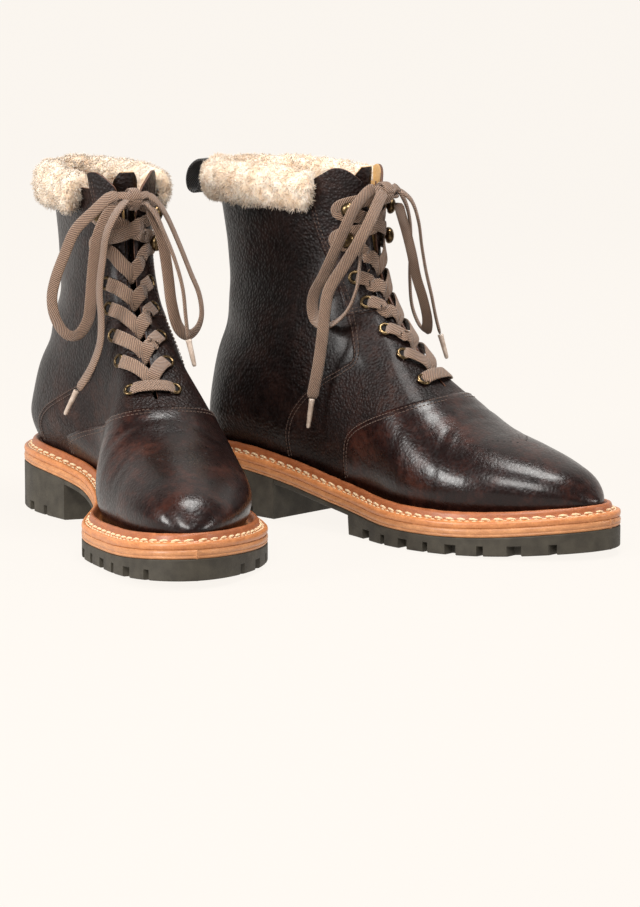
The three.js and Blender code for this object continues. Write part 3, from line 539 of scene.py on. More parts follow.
def foot_field(x, y, z):
    """About the distance from the foot's surface, negative inside."""
    level_back = 9
    toe = TOE_END - WELT_WIDTH
    heel = FOOT_BACK + level_back
    bend = np.hypot(x - heel, HEEL_BLEND)
    at = np.clip((x + heel + bend) / 2, heel, toe - 0.01)
    centre = CENTRE(x)
    edge = np.where(y >= centre, SOLE_OUTER(at), SOLE_INNER(at)) - WELT_WIDTH
    half = edge * round_ends(at, FOOT_BACK, toe, 40, 84) + 0.01
    low, top = FEATHER(at), INSTEP(at)
    middle = low + 0.3 * (top - low)
    height = np.where(z > middle, top - middle, 2 * (middle - low))
    r = superellipse(np.abs(y - centre) / half, np.abs(z - middle) / height, FOOT_POWER)
    beyond = np.maximum(0, x - toe) + 1.5 * (bend - (x - heel))
    return (r - 1) * np.minimum(half, top - middle) + beyond


def shaft_field(x, y, z):
    """The same for the leg."""
    long = (SHAFT_FRONT(z) - SHAFT_BACK(z)) / 2
    middle = (SHAFT_FRONT(z) + SHAFT_BACK(z)) / 2
    half = SHAFT_HALF(z)
    r = superellipse(np.abs(x - middle) / long, np.abs(y - SHAFT_SHIFT) / half, LEG_POWER)
    return (r - 1) * np.minimum(long, half)


def foot_wall(x, y, z):
    """The same for the walls that rise from the welt, which the upper doesn't pass."""
    low, centre = FEATHER(x), CENTRE(x)
    side = np.where(y >= centre, 1, -1)
    edge = np.abs(edge_y(x, side, WELT_WIDTH, 0.9) - centre)
    return np.maximum(np.abs(y - centre) - edge - 0.5 * (z - low), low - z)


def blend_min(a, b, width):
    """The smaller of two values, rounded over a width where they meet."""
    h = np.clip(0.5 + 0.5 * (b - a) / width, 0, 1)
    return b * (1 - h) + a * h - width * h * (1 - h)


def field(p):
    """Negative inside the upper, zero on its surface."""
    x, y, z = p[:, 0], p[:, 1], p[:, 2]
    body = blend_min(foot_field(x, y, z), shaft_field(x, y, z), 26)
    return -blend_min(-body, -foot_wall(x, y, z), 5)


def normals(p):
    step = 0.5
    return unit(np.column_stack([field(p + step * axis) - field(p - step * axis) for axis in np.eye(3)]))


def bisect(inside, outside):
    """The surface points between points inside and points outside."""
    for _ in range(26):
        middle = (inside + outside) / 2
        within = (field(middle) < 0)[:, None]
        inside = np.where(within, middle, inside)
        outside = np.where(within, outside, middle)
    return inside


def shaft_ring(t, z, off=0.0):
    """Points round the leg at height z and off its surface; t runs from 0 to 1, from the front."""
    angle = 2 * np.pi * t
    power = 2 / LEG_POWER
    turn = lambda value: np.sign(value) * np.abs(value) ** power
    long = (SHAFT_FRONT(z) - SHAFT_BACK(z)) / 2 + off
    x = (SHAFT_FRONT(z) + SHAFT_BACK(z)) / 2 + long * turn(np.cos(angle))
    y = SHAFT_SHIFT + (SHAFT_HALF(z) + off) * turn(np.sin(angle))
    return np.stack(np.broadcast_arrays(x, y, z), axis=-1)


def welt_ring(t, inset, squeeze=1.0, rise=0.0):
    """Points round the sole's edge, moved in by inset and up by rise from the feather line."""
    angle = 2 * np.pi * t
    x0, x1 = HEEL_END + inset, TOE_END - inset
    x = x0 + (x1 - x0) * (1 + np.cos(angle)) / 2
    side = np.where(np.sin(angle) >= 0, 1, -1)
    return np.column_stack([x, edge_y(x, side, inset, squeeze), FEATHER(x) + rise])


def spine():
    """Evenly numbered points along the line inside the boot."""
    points = np.array([[x, 0, z] for x, z in SPINE_POINTS], float)
    at = np.linspace(0, len(points) - 1, 121)
    return np.column_stack([np.interp(at, range(len(points)), points[:, i]) for i in range(3)])


def skin(around, rows, top=COLLAR_Z):
    """A grid of points on the upper's surface from the welt to the top, and the outward normals there."""
    above_welt, longest = 0.4, 110
    ankle_x, ankle_z, half_long, half_wide = 58, 100.0, 60, 28
    t = (np.arange(around) + 0.5) / around
    angle = 2 * np.pi * t
    low = welt_ring(t, WELT_WIDTH, 0.9, above_welt)
    high = shaft_ring(t, np.full(around, top))
    bend = np.column_stack([ankle_x + half_long * np.cos(angle), half_wide * np.sin(angle),
                            np.full(around, ankle_z)])
    u = np.linspace(0, 1, rows + 1)[None, :, None]
    guide = (1 - u) ** 2 * low[:, None] + 2 * u * (1 - u) * bend[:, None] + u**2 * high[:, None]
    aims = guide.reshape(-1, 3)
    line = spine()
    far = ((aims[:, None, :] - line[None]) ** 2).sum(axis=2)
    share = np.exp((far.min(axis=1, keepdims=True) - far) / (2 * SPINE_BLUR**2))
    start = (share @ line) / share.sum(axis=1, keepdims=True)
    points = bisect(start, start + longest * unit(aims - start))
    out = normals(points)
    grid = points.reshape(around, rows + 1, 3)
    grid[:, 0] = low
    inward = np.column_stack([low[:, 0] - np.clip(low[:, 0], 40, 240), low[:, 1] - CENTRE(low[:, 0])])
    out = out.reshape(around, rows + 1, 3)
    out[:, 0, :2] = unit(inward)
    out[:, 0, 2] = 0
    return grid.reshape(-1, 3), out.reshape(-1, 3)


def grid_faces(columns, rows, closed):
    """Quads of a grid numbered column by column."""
    last = columns if closed else columns - 1
    i = np.arange(last)[:, None] * rows
    k = ((np.arange(last) + 1) % columns)[:, None] * rows
    j = np.arange(rows - 1)[None, :]
    faces = np.stack([i + j, k + j, k + j + 1, i + j + 1], axis=-1)
    return faces.reshape(-1, 4).tolist()


def bumps(points, size, seed=0.0):
    """Smooth noise from -1 to 1 at each point, with lumps of the given size."""
    return np.array([noise.noise(Vector(p) / size + Vector((seed, seed, seed))) for p in points.tolist()])


def front_points(y, z, lift=0.0):
    """Points of the instep's front at the given y and z, lifted, with their normals."""
    y, z, lift = np.broadcast_arrays(np.asarray(y, float), np.asarray(z, float), lift)
    inside = np.column_stack([np.full(y.size, 100.0), y.ravel(), z.ravel()])
    outside = inside + [[150, 0, 0]]
    points = bisect(inside, outside)
    out = normals(points)
    return points + out * lift.ravel()[:, None], out


def side_points(line, side, step):
    """Points along a side-view line, on the surface of one side, evenly spaced by step."""
    dense = smooth_line(line, 240)
    inside = np.column_stack([dense[:, 0], CENTRE(dense[:, 0]), dense[:, 1]])
    inside[dense[:, 1] > 120, 1] = SHAFT_SHIFT
    inside = inside[field(inside) < 0]
    return resample(bisect(inside, inside + [[0, side * 90, 0]]), step)


def smooth_line(line, count):
    """A Catmull-Rom line through the points, in any number of dimensions."""
    p = np.array(line, float)
    p = np.vstack([2 * p[0] - p[1], p, 2 * p[-1] - p[-2]])
    at = np.linspace(0, len(p) - 3 - 1e-9, count)
    i = at.astype(int) + 1
    t = (at - i + 1)[:, None]
    a, b, c, d = p[i - 1], p[i], p[i + 1], p[np.minimum(i + 2, len(p) - 1)]
    return 0.5 * (2 * b + (c - a) * t + (2 * a - 5 * b + 4 * c - d) * t**2 + (3 * b - a - 3 * c + d) * t**3)


def resample(points, step):
    """The line through the points, with points every step along it."""
    far = distances(points)
    at = np.arange(0, far[-1], step)
    return np.column_stack([np.interp(at, far, points[:, i]) for i in range(points.shape[1])])


def line_distance(points, line):
    """Signed distance in side view from a line; positive ahead of it, towards the toe."""
    dense = smooth_line(line, 160)
    p = points[:, [0, 2]]
    best = np.full(len(p), 1e9)
    sign = np.ones(len(p))
    for start, end in zip(dense[:-1], dense[1:]):
        way = end - start
        t = np.clip(((p - start) @ way) / (way @ way), 0, 1)
        off = p - start - t[:, None] * way
        far = np.hypot(off[:, 0], off[:, 1])
        closer = far < best
        best = np.where(closer, far, best)
        cross = way[0] * off[:, 1] - way[1] * off[:, 0]
        sign = np.where(closer, np.where(cross >= 0, 1.0, -1.0), sign)
    return best * sign


def clip(points, faces, value):
    """Keeps the part of a mesh where value is negative.

    Returns a function that takes a value for each point to the kept part's points, and its faces.
    """
    faces = np.asarray(faces)
    low = value[faces] < 0
    kept = faces[low.all(axis=1)].tolist()
    crossing = faces[low.any(axis=1) & ~low.all(axis=1)].tolist()
    extra, made = [], {}

    def cut(a, b):
        key = (min(a, b), max(a, b))
        if key not in made:
            t = value[key[0]] / (value[key[0]] - value[key[1]])
            made[key] = len(points) + len(extra)
            extra.append((*key, min(max(t, 0.02), 0.98)))
        return made[key]

    for face in crossing:
        polygon = []
        for a, b in zip(face, face[1:] + face[:1]):
            if value[a] < 0:
                polygon.append(a)
            if (value[a] < 0) != (value[b] < 0):
                polygon.append(cut(a, b))
        kept.append(polygon)
    a, b, t = (np.array(column) for column in zip(*extra))
    used = np.unique(np.concatenate([np.array(face) for face in kept]))
    renumber = np.zeros(len(points) + len(extra), dtype=int)
    renumber[used] = np.arange(len(used))

    def keep(values):
        share = t[:, None] if values.ndim > 1 else t
        return np.concatenate([values, values[a] + (values[b] - values[a]) * share])[used]

    return keep, [renumber[face].tolist() for face in kept]


# ---- leather panels ----

SKIN_AROUND, SKIN_ROWS = 420, 150


def seam_values(points, seam):
    """Signed distance from a seam that differs between the outer and the inner side."""
    outer = line_distance(points, seam[1])
    inner = line_distance(points, seam[-1])
    share = np.clip((points[:, 1] - SHAFT_SHIFT) / 8 + 0.5, 0, 1)
    return outer * share + inner * (1 - share)


def throat_value(points):
    """Negative outside the open slit down the front of the leg."""
    throat, open_from, behind = 90, 178, 80
    z = points[:, 2]
    half = 1.2 + 1.6 * np.clip((z - throat) / 30, 0, 1) + 7.5 * np.clip((z - open_from) / 36, 0, 1) ** 1.5
    ahead = points[:, 0] > behind
    slit = half - np.abs(points[:, 1] - SHAFT_SHIFT)
    end = np.clip(z - (throat - 1), -20, 8)
    return np.where(ahead, np.minimum(slit, end), -10)


def creases(points):
    """Soft folds across the vamp, and the rolling surface of worn leather, in mm."""
    x, y = points[:, 0], points[:, 1]
    depth = 0.4 * bumps(points, 38) + 0.07 * bumps(points, 12, 3)
    folds = ((209, 0.16, 2.6, 0.18), (221, -0.1, 2.0, 0.15), (232, 0.22, 1.8, 0.1), (199, -0.2, 2.4, 0.14))
    for at, slant, width, deep in folds:
        wave = x - at - slant * y + 5 * np.sin(y / 17 + at)
        depth -= deep * np.exp(-(wave / width) ** 2) * np.clip((points[:, 2] - 30) / 25, 0, 1)
        depth += 0.6 * deep * np.exp(-((wave - 2 * width) / width) ** 2)
    ankle = np.exp(-((x - 40) / 40) ** 2) * np.exp(-((points[:, 2] - 118) / 26) ** 2)
    depth -= 0.9 * ankle * np.sin(points[:, 2] / 5.5 + x / 30)
    return depth


def panels():
    """The upper's surface and its panels, each with a value that is negative on it, its raised edges,
    its look and their lift."""
    points, out = skin(SKIN_AROUND, SKIN_ROWS)
    faces = grid_faces(SKIN_AROUND, SKIN_ROWS + 1, True)
    vamp = -seam_values(points, VAMP_SEAM)
    back = seam_values(points, BACK_SEAM)
    (low_x, low_z), (high_x, high_z) = CROSS_LEVEL
    above = points[:, 2] - (low_z + (points[:, 0] - low_x) * (high_z - low_z) / (high_x - low_x))
    slit = throat_value(points)
    collar = points[:, 2] - COLLAR_LINE(points[:, 0])
    under = 4.0
    ahead_of_back = -back
    plans = {
        "vamp": (np.maximum(vamp, slit), [vamp], "vamp", 1.0),
        "back_quarter": (np.maximum(back - under, points[:, 2] - SHAFT_TOP - 0.5), [], "shaft", 0.0),
    }
    for side, name in ((1, "lateral"), (-1, "medial")):
        other = -side * (points[:, 1] - SHAFT_SHIFT)
        whole = np.maximum.reduce([-vamp - under, ahead_of_back, slit, other])
        plans[f"quarter_{name}"] = (np.maximum(whole, above - under), [ahead_of_back], "quarter", 0.55)
        plans[f"facing_{name}"] = (np.maximum.reduce([ahead_of_back, slit, other, -above, collar]),
                                   [ahead_of_back, -above], "quarter", 1.1)
    return points, out, faces, creases(points), plans


def rolled(distance, height):
    """Lift of a panel near its cut edge: full a little way in, rounded off at the edge itself."""
    inside = np.clip(-distance, 0, None)
    edge = 1 - np.clip(inside / 0.9, 0, 1)
    return height * np.exp(-np.clip(inside - 4, 0, None) / 14) - 0.45 * edge**2


def thicken(points, out, faces, thick, tan):
    """A closed sheet of the given thickness: outer faces, inner faces and the rim between them."""
    count = len(points)
    edges = {}
    for face in faces:
        for a, b in zip(face, face[1:] + face[:1]):
            if (b, a) in edges:
                del edges[(b, a)]
            else:
                edges[(a, b)] = True
    rim = [[b, a, a + count, b + count] for a, b in edges]
    inner = [[corner + count for corner in face[::-1]] for face in faces]
    which = [0] * len(faces) + [tan] * len(inner) + [1] * len(rim)
    return np.vstack([points, points - thick * out]), faces + inner + rim, which


def leather_panels(boot, upper):
    points, out, faces, worn, plans = upper
    for name, (value, edges, look, lift) in plans.items():
        keep, kept = clip(points, faces, value)
        rise = keep(worn)
        if edges:
            rise = rise + np.maximum.reduce([rolled(keep(edge), lift) for edge in edges])
        shaped = keep(points) + keep(out) * rise[:, None]
        sheet, sheet_faces, which = thicken(shaped, keep(out), kept, LEATHER_THICK, 2)
        place(boot, name, sheet, sheet_faces, [look, "raw_edge", "inner_leather"], nodes=[name],
              slot="leather", which=which)


# ---- thread ----

def capsules(starts, ends, up, radius, sides=6):
    """Short rounded threads from starts to ends."""
    along = ends - starts
    length = np.linalg.norm(along, axis=1, keepdims=True)
    along /= length
    across = unit(np.cross(up, along))
    high = np.cross(along, across)
    rings = [(0.0, 0.25, -0.5), (0.12, 0.8, 0.0), (0.5, 1.0, 0.45), (0.88, 0.8, 0.0), (1.0, 0.25, -0.5)]
    turn = 2 * np.pi * np.arange(sides) / sides
    grid = []
    for at, wide, rise in rings:
        centre = starts + along * length * at + high * rise * radius
        for angle in turn:
            grid.append(centre + radius * wide * (across * np.cos(angle) + high * np.sin(angle)))
    points = np.stack(grid, axis=1).reshape(-1, 3)
    return points, copies(tube_faces(len(rings), sides), len(rings) * sides, len(starts))


def row_of_stitches(points, out, share, radius, lift, lean=0.0):
    """Stitches between neighbouring points, each filling a share of the pitch."""
    starts, ends = points[:-1], points[1:]
    up = (out[:-1] + out[1:]) / 2
    way = ends - starts
    across = unit(np.cross(up, way))
    rest = (1 - share) / 2
    a = starts + way * rest + up * lift - across * lean
    b = ends - way * rest + up * lift + across * lean
    return capsules(a, b, up, radius)


def shifted(line, distance):
    """A side-view line moved ahead by a distance."""
    p = smooth_line(line, 80)
    way = unit(np.gradient(p, axis=0))
    return p + distance * np.column_stack([-way[:, 1], way[:, 0]])


def seam_stitches(boot):
    """Two rows of thread along each seam of the upper."""
    pitch, share, radius = 2.5, 0.8, 0.29
    rows = []
    for side in (1, -1):
        # Each seam with its rows' distances from the edge, their lift, and where in x they run.
        for line, offsets, lift, from_x, to_x in ((VAMP_SEAM[side], (1.7, 4.0), 1.0, -20, 205),
                                                  (BACK_SEAM[side], (1.7, 4.0), 0.9, -20, 310),
                                                  (CROSS_SEAM[side], (1.5, 3.6), 1.0, 129, 310)):
            for offset in offsets:
                on = side_points(shifted(line, offset), side, pitch)
                x, y, z = on.T
                keep = (z < COLLAR_LINE(x) - 3) & (z > FEATHER(x) + 5)
                keep &= (np.abs(y - SHAFT_SHIFT) > 4.5) & (x > from_x) & (x < to_x)
                on = on[keep]
                if len(on) > 3:
                    out = normals(on)
                    rows.append(row_of_stitches(on + out * creases(on)[:, None], out, share, radius, lift))
    points, faces = joined(rows)
    place(boot, "seam_stitches", points, faces, ["seam_thread"], slot="lace")


def medallion(boot):
    """Small punched holes in curved rows on the top of the vamp, each drawn as a shallow near-black disc
    that is painted shade.
    """
    holes, ring_holes = 16, 7
    ring_x, ring_radius, ring_hole = 231, 3.4, 0.6
    # Arched rows: first x, length, distance from the middle at the ends, arch, radius of a hole.
    rows = ((214, 34, 4, 15, 0.75), (218, 26, 3, 8.5, 0.5))
    spots = []
    for turn in (1, -1):
        for a in np.arange(holes) / (holes - 1):
            for first, length, apart, arch, radius in rows:
                spots.append((first + length * a, turn * (apart + arch * math.sin(math.pi * a)), radius))
    for angle in 2 * np.pi * np.arange(ring_holes) / ring_holes:
        spots.append((ring_x + ring_radius * math.cos(angle), ring_radius * math.sin(angle), ring_hole))
    at = np.array([(x, y + CENTRE(x), INSTEP(x) * 0.62) for x, y, _ in spots])
    on = bisect(at, at + [[0, 0, 70]])
    out = normals(on)
    size = np.array([r for _, _, r in spots])
    lift = creases(on) + 0.06
    centre = on + out * lift[:, None]
    u = unit(np.cross(out, [[0, 1, 0]]))
    v = np.cross(out, u)
    sides, depth = 10, 0.5
    points = []
    for c, n, a, b, r in zip(centre, out, u, v, size):
        for level in (-depth, 0.0):
            for angle in 2 * np.pi * np.arange(sides) / sides:
                points.append(c + n * level + r * (a * math.cos(angle) + b * math.sin(angle)))
    faces = copies(tube_faces(2, sides), 2 * sides, len(spots))
    place(boot, "vamp_perforations", np.array(points), faces, ["hole"], slot="leather")


# ---- sole ----

AROUND_SOLE = 520


def ring_sweep(section, around=AROUND_SOLE):
    """Sweeps a closed section of (inset, squeeze, rise) round the sole."""
    t = np.arange(around) / around
    rings = [welt_ring(t, inset, squeeze, rise) for inset, squeeze, rise in section]
    points = np.stack(rings, axis=1).reshape(-1, 3)
    return points, tube_faces(around, len(section), closed=True)


def welt(boot):
    """The flat ledge with its groove, and the storm welt's rim that rises against the upper."""
    section = [(11, 0.9, -WELT_THICK), (0.7, 1, -WELT_THICK), (0.15, 1, -3.5), (-0.1, 1, -2), (0.1, 1, -0.7),
               (0.6, 1, -0.1), (1.5, 1, 0.1), (2.0, 1, 0.0), (2.3, 1, -0.5), (3.0, 1, -0.6), (3.3, 1, -0.1),
               (3.9, 1, 0.3), (4.3, 1, 0.8), (4.6, 1, 1.8), (4.8, 1, 3.0), (5.2, 1, 4.1), (5.9, 1, 4.8),
               (6.8, 1, 4.9), (7.5, 0.995, 4.4), (7.9, 0.98, 3.0), (8.2, 0.96, 0.6), (11, 0.9, 0.2)]
    points, faces = ring_sweep(section)
    points[:, 2] += 0.22 * bumps(points, 9) + 0.1 * bumps(points, 3, 5)
    rim = range(11, 20)
    which = [int(j in rim) for j in range(len(section))] * AROUND_SOLE
    place(boot, "welt", points, faces, ["welt_ledge", "welt_rim"], nodes=["welt"], slot="raw_leather",
          which=which)


def welt_stitches(boot):
    """The big cream stitches on the rim's slope and the finer row in the groove beside it."""
    t = np.linspace(0, 1, 1600, endpoint=False)
    rim = (4.15, 0.75, 7.6, 0.85, 0.78, 0.35, (0.75, 0.66))
    groove = (2.65, -0.35, 4.6, 0.5, 0.74, 0.1, (0.1, 1))
    rows = []
    for inset, rise, pitch, radius, share, lean, up in (rim, groove):
        ring = welt_ring(t, inset, 1.0, rise)
        line = resample(np.vstack([ring, ring[:1]]), pitch)
        way = np.gradient(line, axis=0)
        away = unit(np.column_stack([way[:, 1], -way[:, 0], np.zeros(len(line))]))
        centre = np.column_stack([np.clip(line[:, 0], 40, 250), CENTRE(line[:, 0]), line[:, 2]])
        away *= np.sign(((line - centre) * away).sum(axis=1, keepdims=True))
        out = away * up[0] + np.array([[0, 0, up[1]]])
        rows.append(row_of_stitches(line, out, share, radius, 0.1, lean))
    points, faces = joined(rows)
    place(boot, "welt_stitches", points, faces, ["welt_thread"], slot="raw_leather")


def plate(x0, x1, profile, steps, inset=0.0, squeeze=1.0, extra=()):
    """A closed slab along the sole; profile gives (inset, height) pairs up its edge at x."""
    stations = x0 + (x1 - x0) * (1 - np.cos(np.pi * np.linspace(0, 1, steps + 1))) / 2
    stations = np.unique(np.concatenate([stations, extra]))
    across = 9
    columns = []
    for x in stations:
        edge = profile(x)
        ring = []
        for side, pairs in ((1, edge), (-1, edge[::-1])):
            ring += [(x, float(edge_y(x, side, inset + off, squeeze)), z) for off, z in pairs]
            _, first_y, z = ring[-1]
            last_y = float(edge_y(x, -side, inset + pairs[-1][0], squeeze))
            for k in range(1, across):
                ring.append((x, first_y + (last_y - first_y) * k / across, z))
        columns.append(ring)
    return np.array(columns).reshape(-1, 3), tube_faces(len(stations), len(ring), flip=True)


MIDSOLE_TOP = -WELT_THICK - GAP
MIDSOLE_LOW = MIDSOLE_TOP - MIDSOLE_THICK
RUBBER_TOP = MIDSOLE_LOW - GAP


def midsole(boot):
    """Two stacked layers with rounded edges and a fine line between them."""
    def profile(x):
        low, high = FEATHER(x) + MIDSOLE_LOW - GAP, FEATHER(x) + MIDSOLE_TOP + GAP
        tall = high - low
        shape = [(0.9, 0), (0.25, 0.1), (0, 0.22), (0.05, 0.3), (0.55, 0.34), (0.05, 0.4), (-0.15, 0.6),
                 (0.1, 0.85), (0.5, 0.96), (0.9, 1)]
        return [(off, low + tall * share) for off, share in shape]
    points, faces = plate(HEEL_END, TOE_END, profile, 180)
    place(boot, "midsole", points, faces, ["midsole"], nodes=["midsole"], slot="raw_leather")


NOTCH_PITCH = 17.5
NOTCH_HALVES = (3.5, 1.75)


def notch_list(first, last):
    """(middle, half width) of the tread's side notches, wide and narrow in turn."""
    return [(x, NOTCH_HALVES[k % 2]) for k, x in enumerate(np.arange(first, last, NOTCH_PITCH))]


def tread(name, boot, x0, x1, low, notches, extra=()):
    """Rubber with side notches: a wall that steps inward below the notch roof."""
    roof, deep, lip = 6.0, 6.0, 0.06
    marks = [x + sign * (half + slant) for x, half in notches for sign in (-1, 1) for slant in (0, lip)]
    marks += [x + sign * half * 0.5 for x, half in notches for sign in (-1, 1)] + list(extra)

    def inside(x):
        for middle, half in notches:
            if abs(x - middle) <= half + lip / 2:
                return deep
        return 0.0

    def profile(x):
        base, top = low(x), FEATHER(x) + RUBBER_TOP
        cut = inside(x)
        step = min(roof, (top - base) * 0.62)
        return [(cut + 0.7, base), (cut + 0.15, base + 0.35), (cut, base + 0.8), (cut, base + step - lip),
                (min(cut, 0.2), base + step), (0, base + step + 0.4), (0, top - 0.7), (0.25, top - 0.15),
                (0.7, top)]
    points, faces = plate(x0, x1, profile, 130, extra=marks)
    place(boot, name, points, faces, ["rubber"], nodes=[name], slot="rubber", smooth=False)


def outsole(boot):
    """The rubber sole, thin at the waist and thick from the forepart on, and the heel block."""
    def low(x):
        return FEATHER(x) + RUBBER_TOP - TREAD_WAIST if x < FOREPART + 0.5 else float(SPRING(x))

    step = (FOREPART, FOREPART + 1)
    front_notches = notch_list(FOREPART + 19, TOE_END - 17)
    tread("outsole", boot, HEEL_BREAST + GAP, TOE_END, low, front_notches, step)
    tread("heel_block", boot, HEEL_END, HEEL_BREAST, lambda x: 0.0, notch_list(12, 70))


def inner_sole(boot):
    """The footbed's pile, seen down inside the leg."""
    def profile(x):
        z = FEATHER(x)
        return [(2, z + GAP), (0.5, z + 1.5), (0, z + 3), (1.2, z + 4.6)]
    inset = WELT_WIDTH + 13
    points, faces = plate(HEEL_END + inset, TOE_END - inset - 6, profile, 90, inset, 0.9)
    points[:, 2] += 0.5 * bumps(points, 6) * (points[:, 2] > FEATHER(points[:, 0]) + 3)
    place(boot, "footbed", points, faces, ["fur_inside"], nodes=["footbed"], slot="shearling")


# ---- shearling ----

def lumpy(points, out, big, middle, small, seed):
    """The points with lumps of three sizes."""
    rise = big * bumps(points, 13, seed) + middle * bumps(points, 5.5, seed + 7)
    rise += small * bumps(points, 2.2, seed + 13)
    return points + out * rise[:, None]


def strands(roots, out, length, radius, seed):
    """Thin curling tapered fibres, each a closed three-sided spike."""
    droop = np.array([[0, 0, 0.25]])
    random = np.random.default_rng(seed)
    count = len(roots)
    side = random.normal(size=(count, 3))
    side = unit(side - out * (side * out).sum(axis=1, keepdims=True))
    across = np.cross(out, side)
    length = length * (0.6 + 0.7 * random.random((count, 1)))
    lean = 0.9 * random.random((count, 1)) + 0.15
    rings = []
    for at, wide in ((0.0, 1.0), (0.4, 0.9), (0.8, 0.6)):
        centre = roots + out * length * at * (1 - 0.3 * lean * at)
        centre = centre + side * length * lean * at**1.5 * 0.8 - droop * length * at**2
        for k in range(3):
            angle = 2 * math.pi * k / 3 + at * 2
            rings.append(centre + radius * wide * (side * math.cos(angle) + across * math.sin(angle)))
    tip = roots + out * length * (1 - 0.3 * lean) + side * length * lean * 0.95
    tip = tip - droop * length
    points = np.stack(rings + [tip], axis=1).reshape(-1, 3)
    shape = tube_faces(3, 3)[:-1] + [[6, 7, 9], [7, 8, 9], [8, 6, 9]]
    return points, copies(shape, 10, count)


CUFF_SECTION = [[1.6, 193], [4.5, 191], [8, 191.5], [10.3, 195], [11, 200], [10.6, 205], [8.8, 209.5],
                [5.5, 212.8], [1.5, 214.2], [-3, 213.5], [-7, 210.5], [-9.2, 205.5], [-9.3, 199],
                [-8.3, 195], [-4, 194.5], [-2.2, 199], [0.2, 206], [1.8, 202], [2, 196]]
CUFF_MIDDLE = np.array([5.0, 202.0])
# The cuff leaves this share of the ring free on each side of the front.
CUFF_START = 4.25 / 26


def cuff_grid(around, rows):
    """Points of the turned-down cuff; its ends close round like a rolled fleece."""
    closing, least = 9 / 560, 0.3 / 560
    section = smooth_line(np.vstack([CUFF_SECTION, CUFF_SECTION[:1]]), rows + 1)[:-1]
    t = np.linspace(CUFF_START, 1 - CUFF_START, around)
    from_end = np.minimum(t - t[0], t[-1] - t)
    close = np.sqrt(1 - (1 - np.clip((from_end + least) / closing, 0, 1)) ** 2)
    columns = []
    for at, share in zip(t, close):
        shape = CUFF_MIDDLE + (section - CUFF_MIDDLE) * share
        columns.append(shaft_ring(np.full(rows, at), shape[:, 1], shape[:, 0]))
    return np.array(columns)


def grid_normals(grid, middle):
    """Outward normals of a closed-section grid, away from each column's middle."""
    down = np.roll(grid, -1, axis=1) - np.roll(grid, 1, axis=1)
    along = np.gradient(grid, axis=0)
    out = np.cross(down, along)
    size = np.linalg.norm(out, axis=2, keepdims=True)
    away = grid - middle
    flat = away / np.maximum(np.linalg.norm(away, axis=2, keepdims=True), 1e-6)
    out = np.where(size > 1e-6, out / np.maximum(size, 1e-6), flat)
    flip = np.sign((out * away).sum(axis=(1, 2)).mean())
    return out * flip


def cuff(boot):
    """The turned-down fleece: a lumpy body, and fibres of pile on it."""
    around, rows = 340, 72
    grid = cuff_grid(around, rows)
    middle = grid.mean(axis=1, keepdims=True)
    out = grid_normals(grid, middle).reshape(-1, 3)
    seed = 20 + boot.side * 3
    points = lumpy(grid.reshape(-1, 3), out, 2.2, 1.5, 0.5, seed)
    made = place(boot, "cuff", points, tube_faces(around, rows), ["fur"], nodes=["cuff"], slot="shearling")
    fibres, length, radius = 20000, 2.3, 0.24
    random = np.random.default_rng(seed + 40)
    pick = random.integers(0, len(points), fibres)
    roots = points[pick] + random.normal(scale=0.35, size=(len(pick), 3)) - out[pick] * 0.4
    tufts, its = strands(roots, out[pick], length, radius, seed)
    place(boot, "cuff_pile", tufts, its, ["fur"], slot="shearling")


def lining(boot):
    """The pile inside the leg and foot: a closed sheet with tufts where it can be seen."""
    around, rows = 200, 100
    points, out = skin(around, rows, top=SHAFT_TOP - 6)
    faces = grid_faces(around, rows + 1, True)
    seed = 60 + boot.side
    open_front = np.where((points[:, 0] > 80) & (points[:, 2] > 84),
                          15 - np.abs(points[:, 1] - SHAFT_SHIFT), -10)
    keep, kept = clip(points, faces, open_front)
    some, away = keep(points), keep(out)
    depth = 3.9
    outer = some - away * depth
    thick = 3.4 + 0.6 * bumps(some, 6, seed)
    inner = some - away * (depth + thick[:, None])
    shell, shell_faces, _ = thicken(outer, away, kept, 1.0, 0)
    shell[len(some):] = inner
    made = place(boot, "lining", shell, shell_faces, ["fur_inside"], nodes=["lining"], slot="shearling")
    seen_above, fibres, length, radius = 120, 5000, 4.0, 0.32
    high = np.flatnonzero(some[:, 2] > seen_above)
    random = np.random.default_rng(seed + 5)
    pick = high[random.integers(0, len(high), fibres)]
    tufts, its = strands(inner[pick] + away[pick] * 0.4, -away[pick], length, radius, seed + 9)
    place(boot, "lining_pile", tufts, its, ["fur_inside"], slot="shearling")


# ---- tongue and pull loop ----

def tongue(boot):
    """A slightly rippled sheet behind the laces, with a rounded top."""
    columns, rows = 32, 110
    bottom, top = 86, 215.5
    z = np.linspace(bottom, top, rows)
    y = np.linspace(-1, 1, columns)
    zz, yy = np.meshgrid(z, y)
    half = TONGUE_HALF * np.clip(1.02 - np.clip((zz - 207) / 14, 0, 1) ** 2, 0, 1)
    flat_y = SHAFT_SHIFT + yy * half
    front, out = front_points(flat_y.ravel(), zz.ravel(), 0.0)
    ripple = 0.35 * bumps(front, 11, 4)
    front = front - out * (TONGUE_DEPTH - ripple)[:, None]
    faces = grid_faces(columns, rows, False)
    sheet, sheet_faces, which = thicken(front, out, faces, TONGUE_THICK, 1)
    place(boot, "tongue", sheet, sheet_faces, ["quarter", "inner_leather"], body="tongue",
          nodes=["tongue"], slot="leather", which=which)


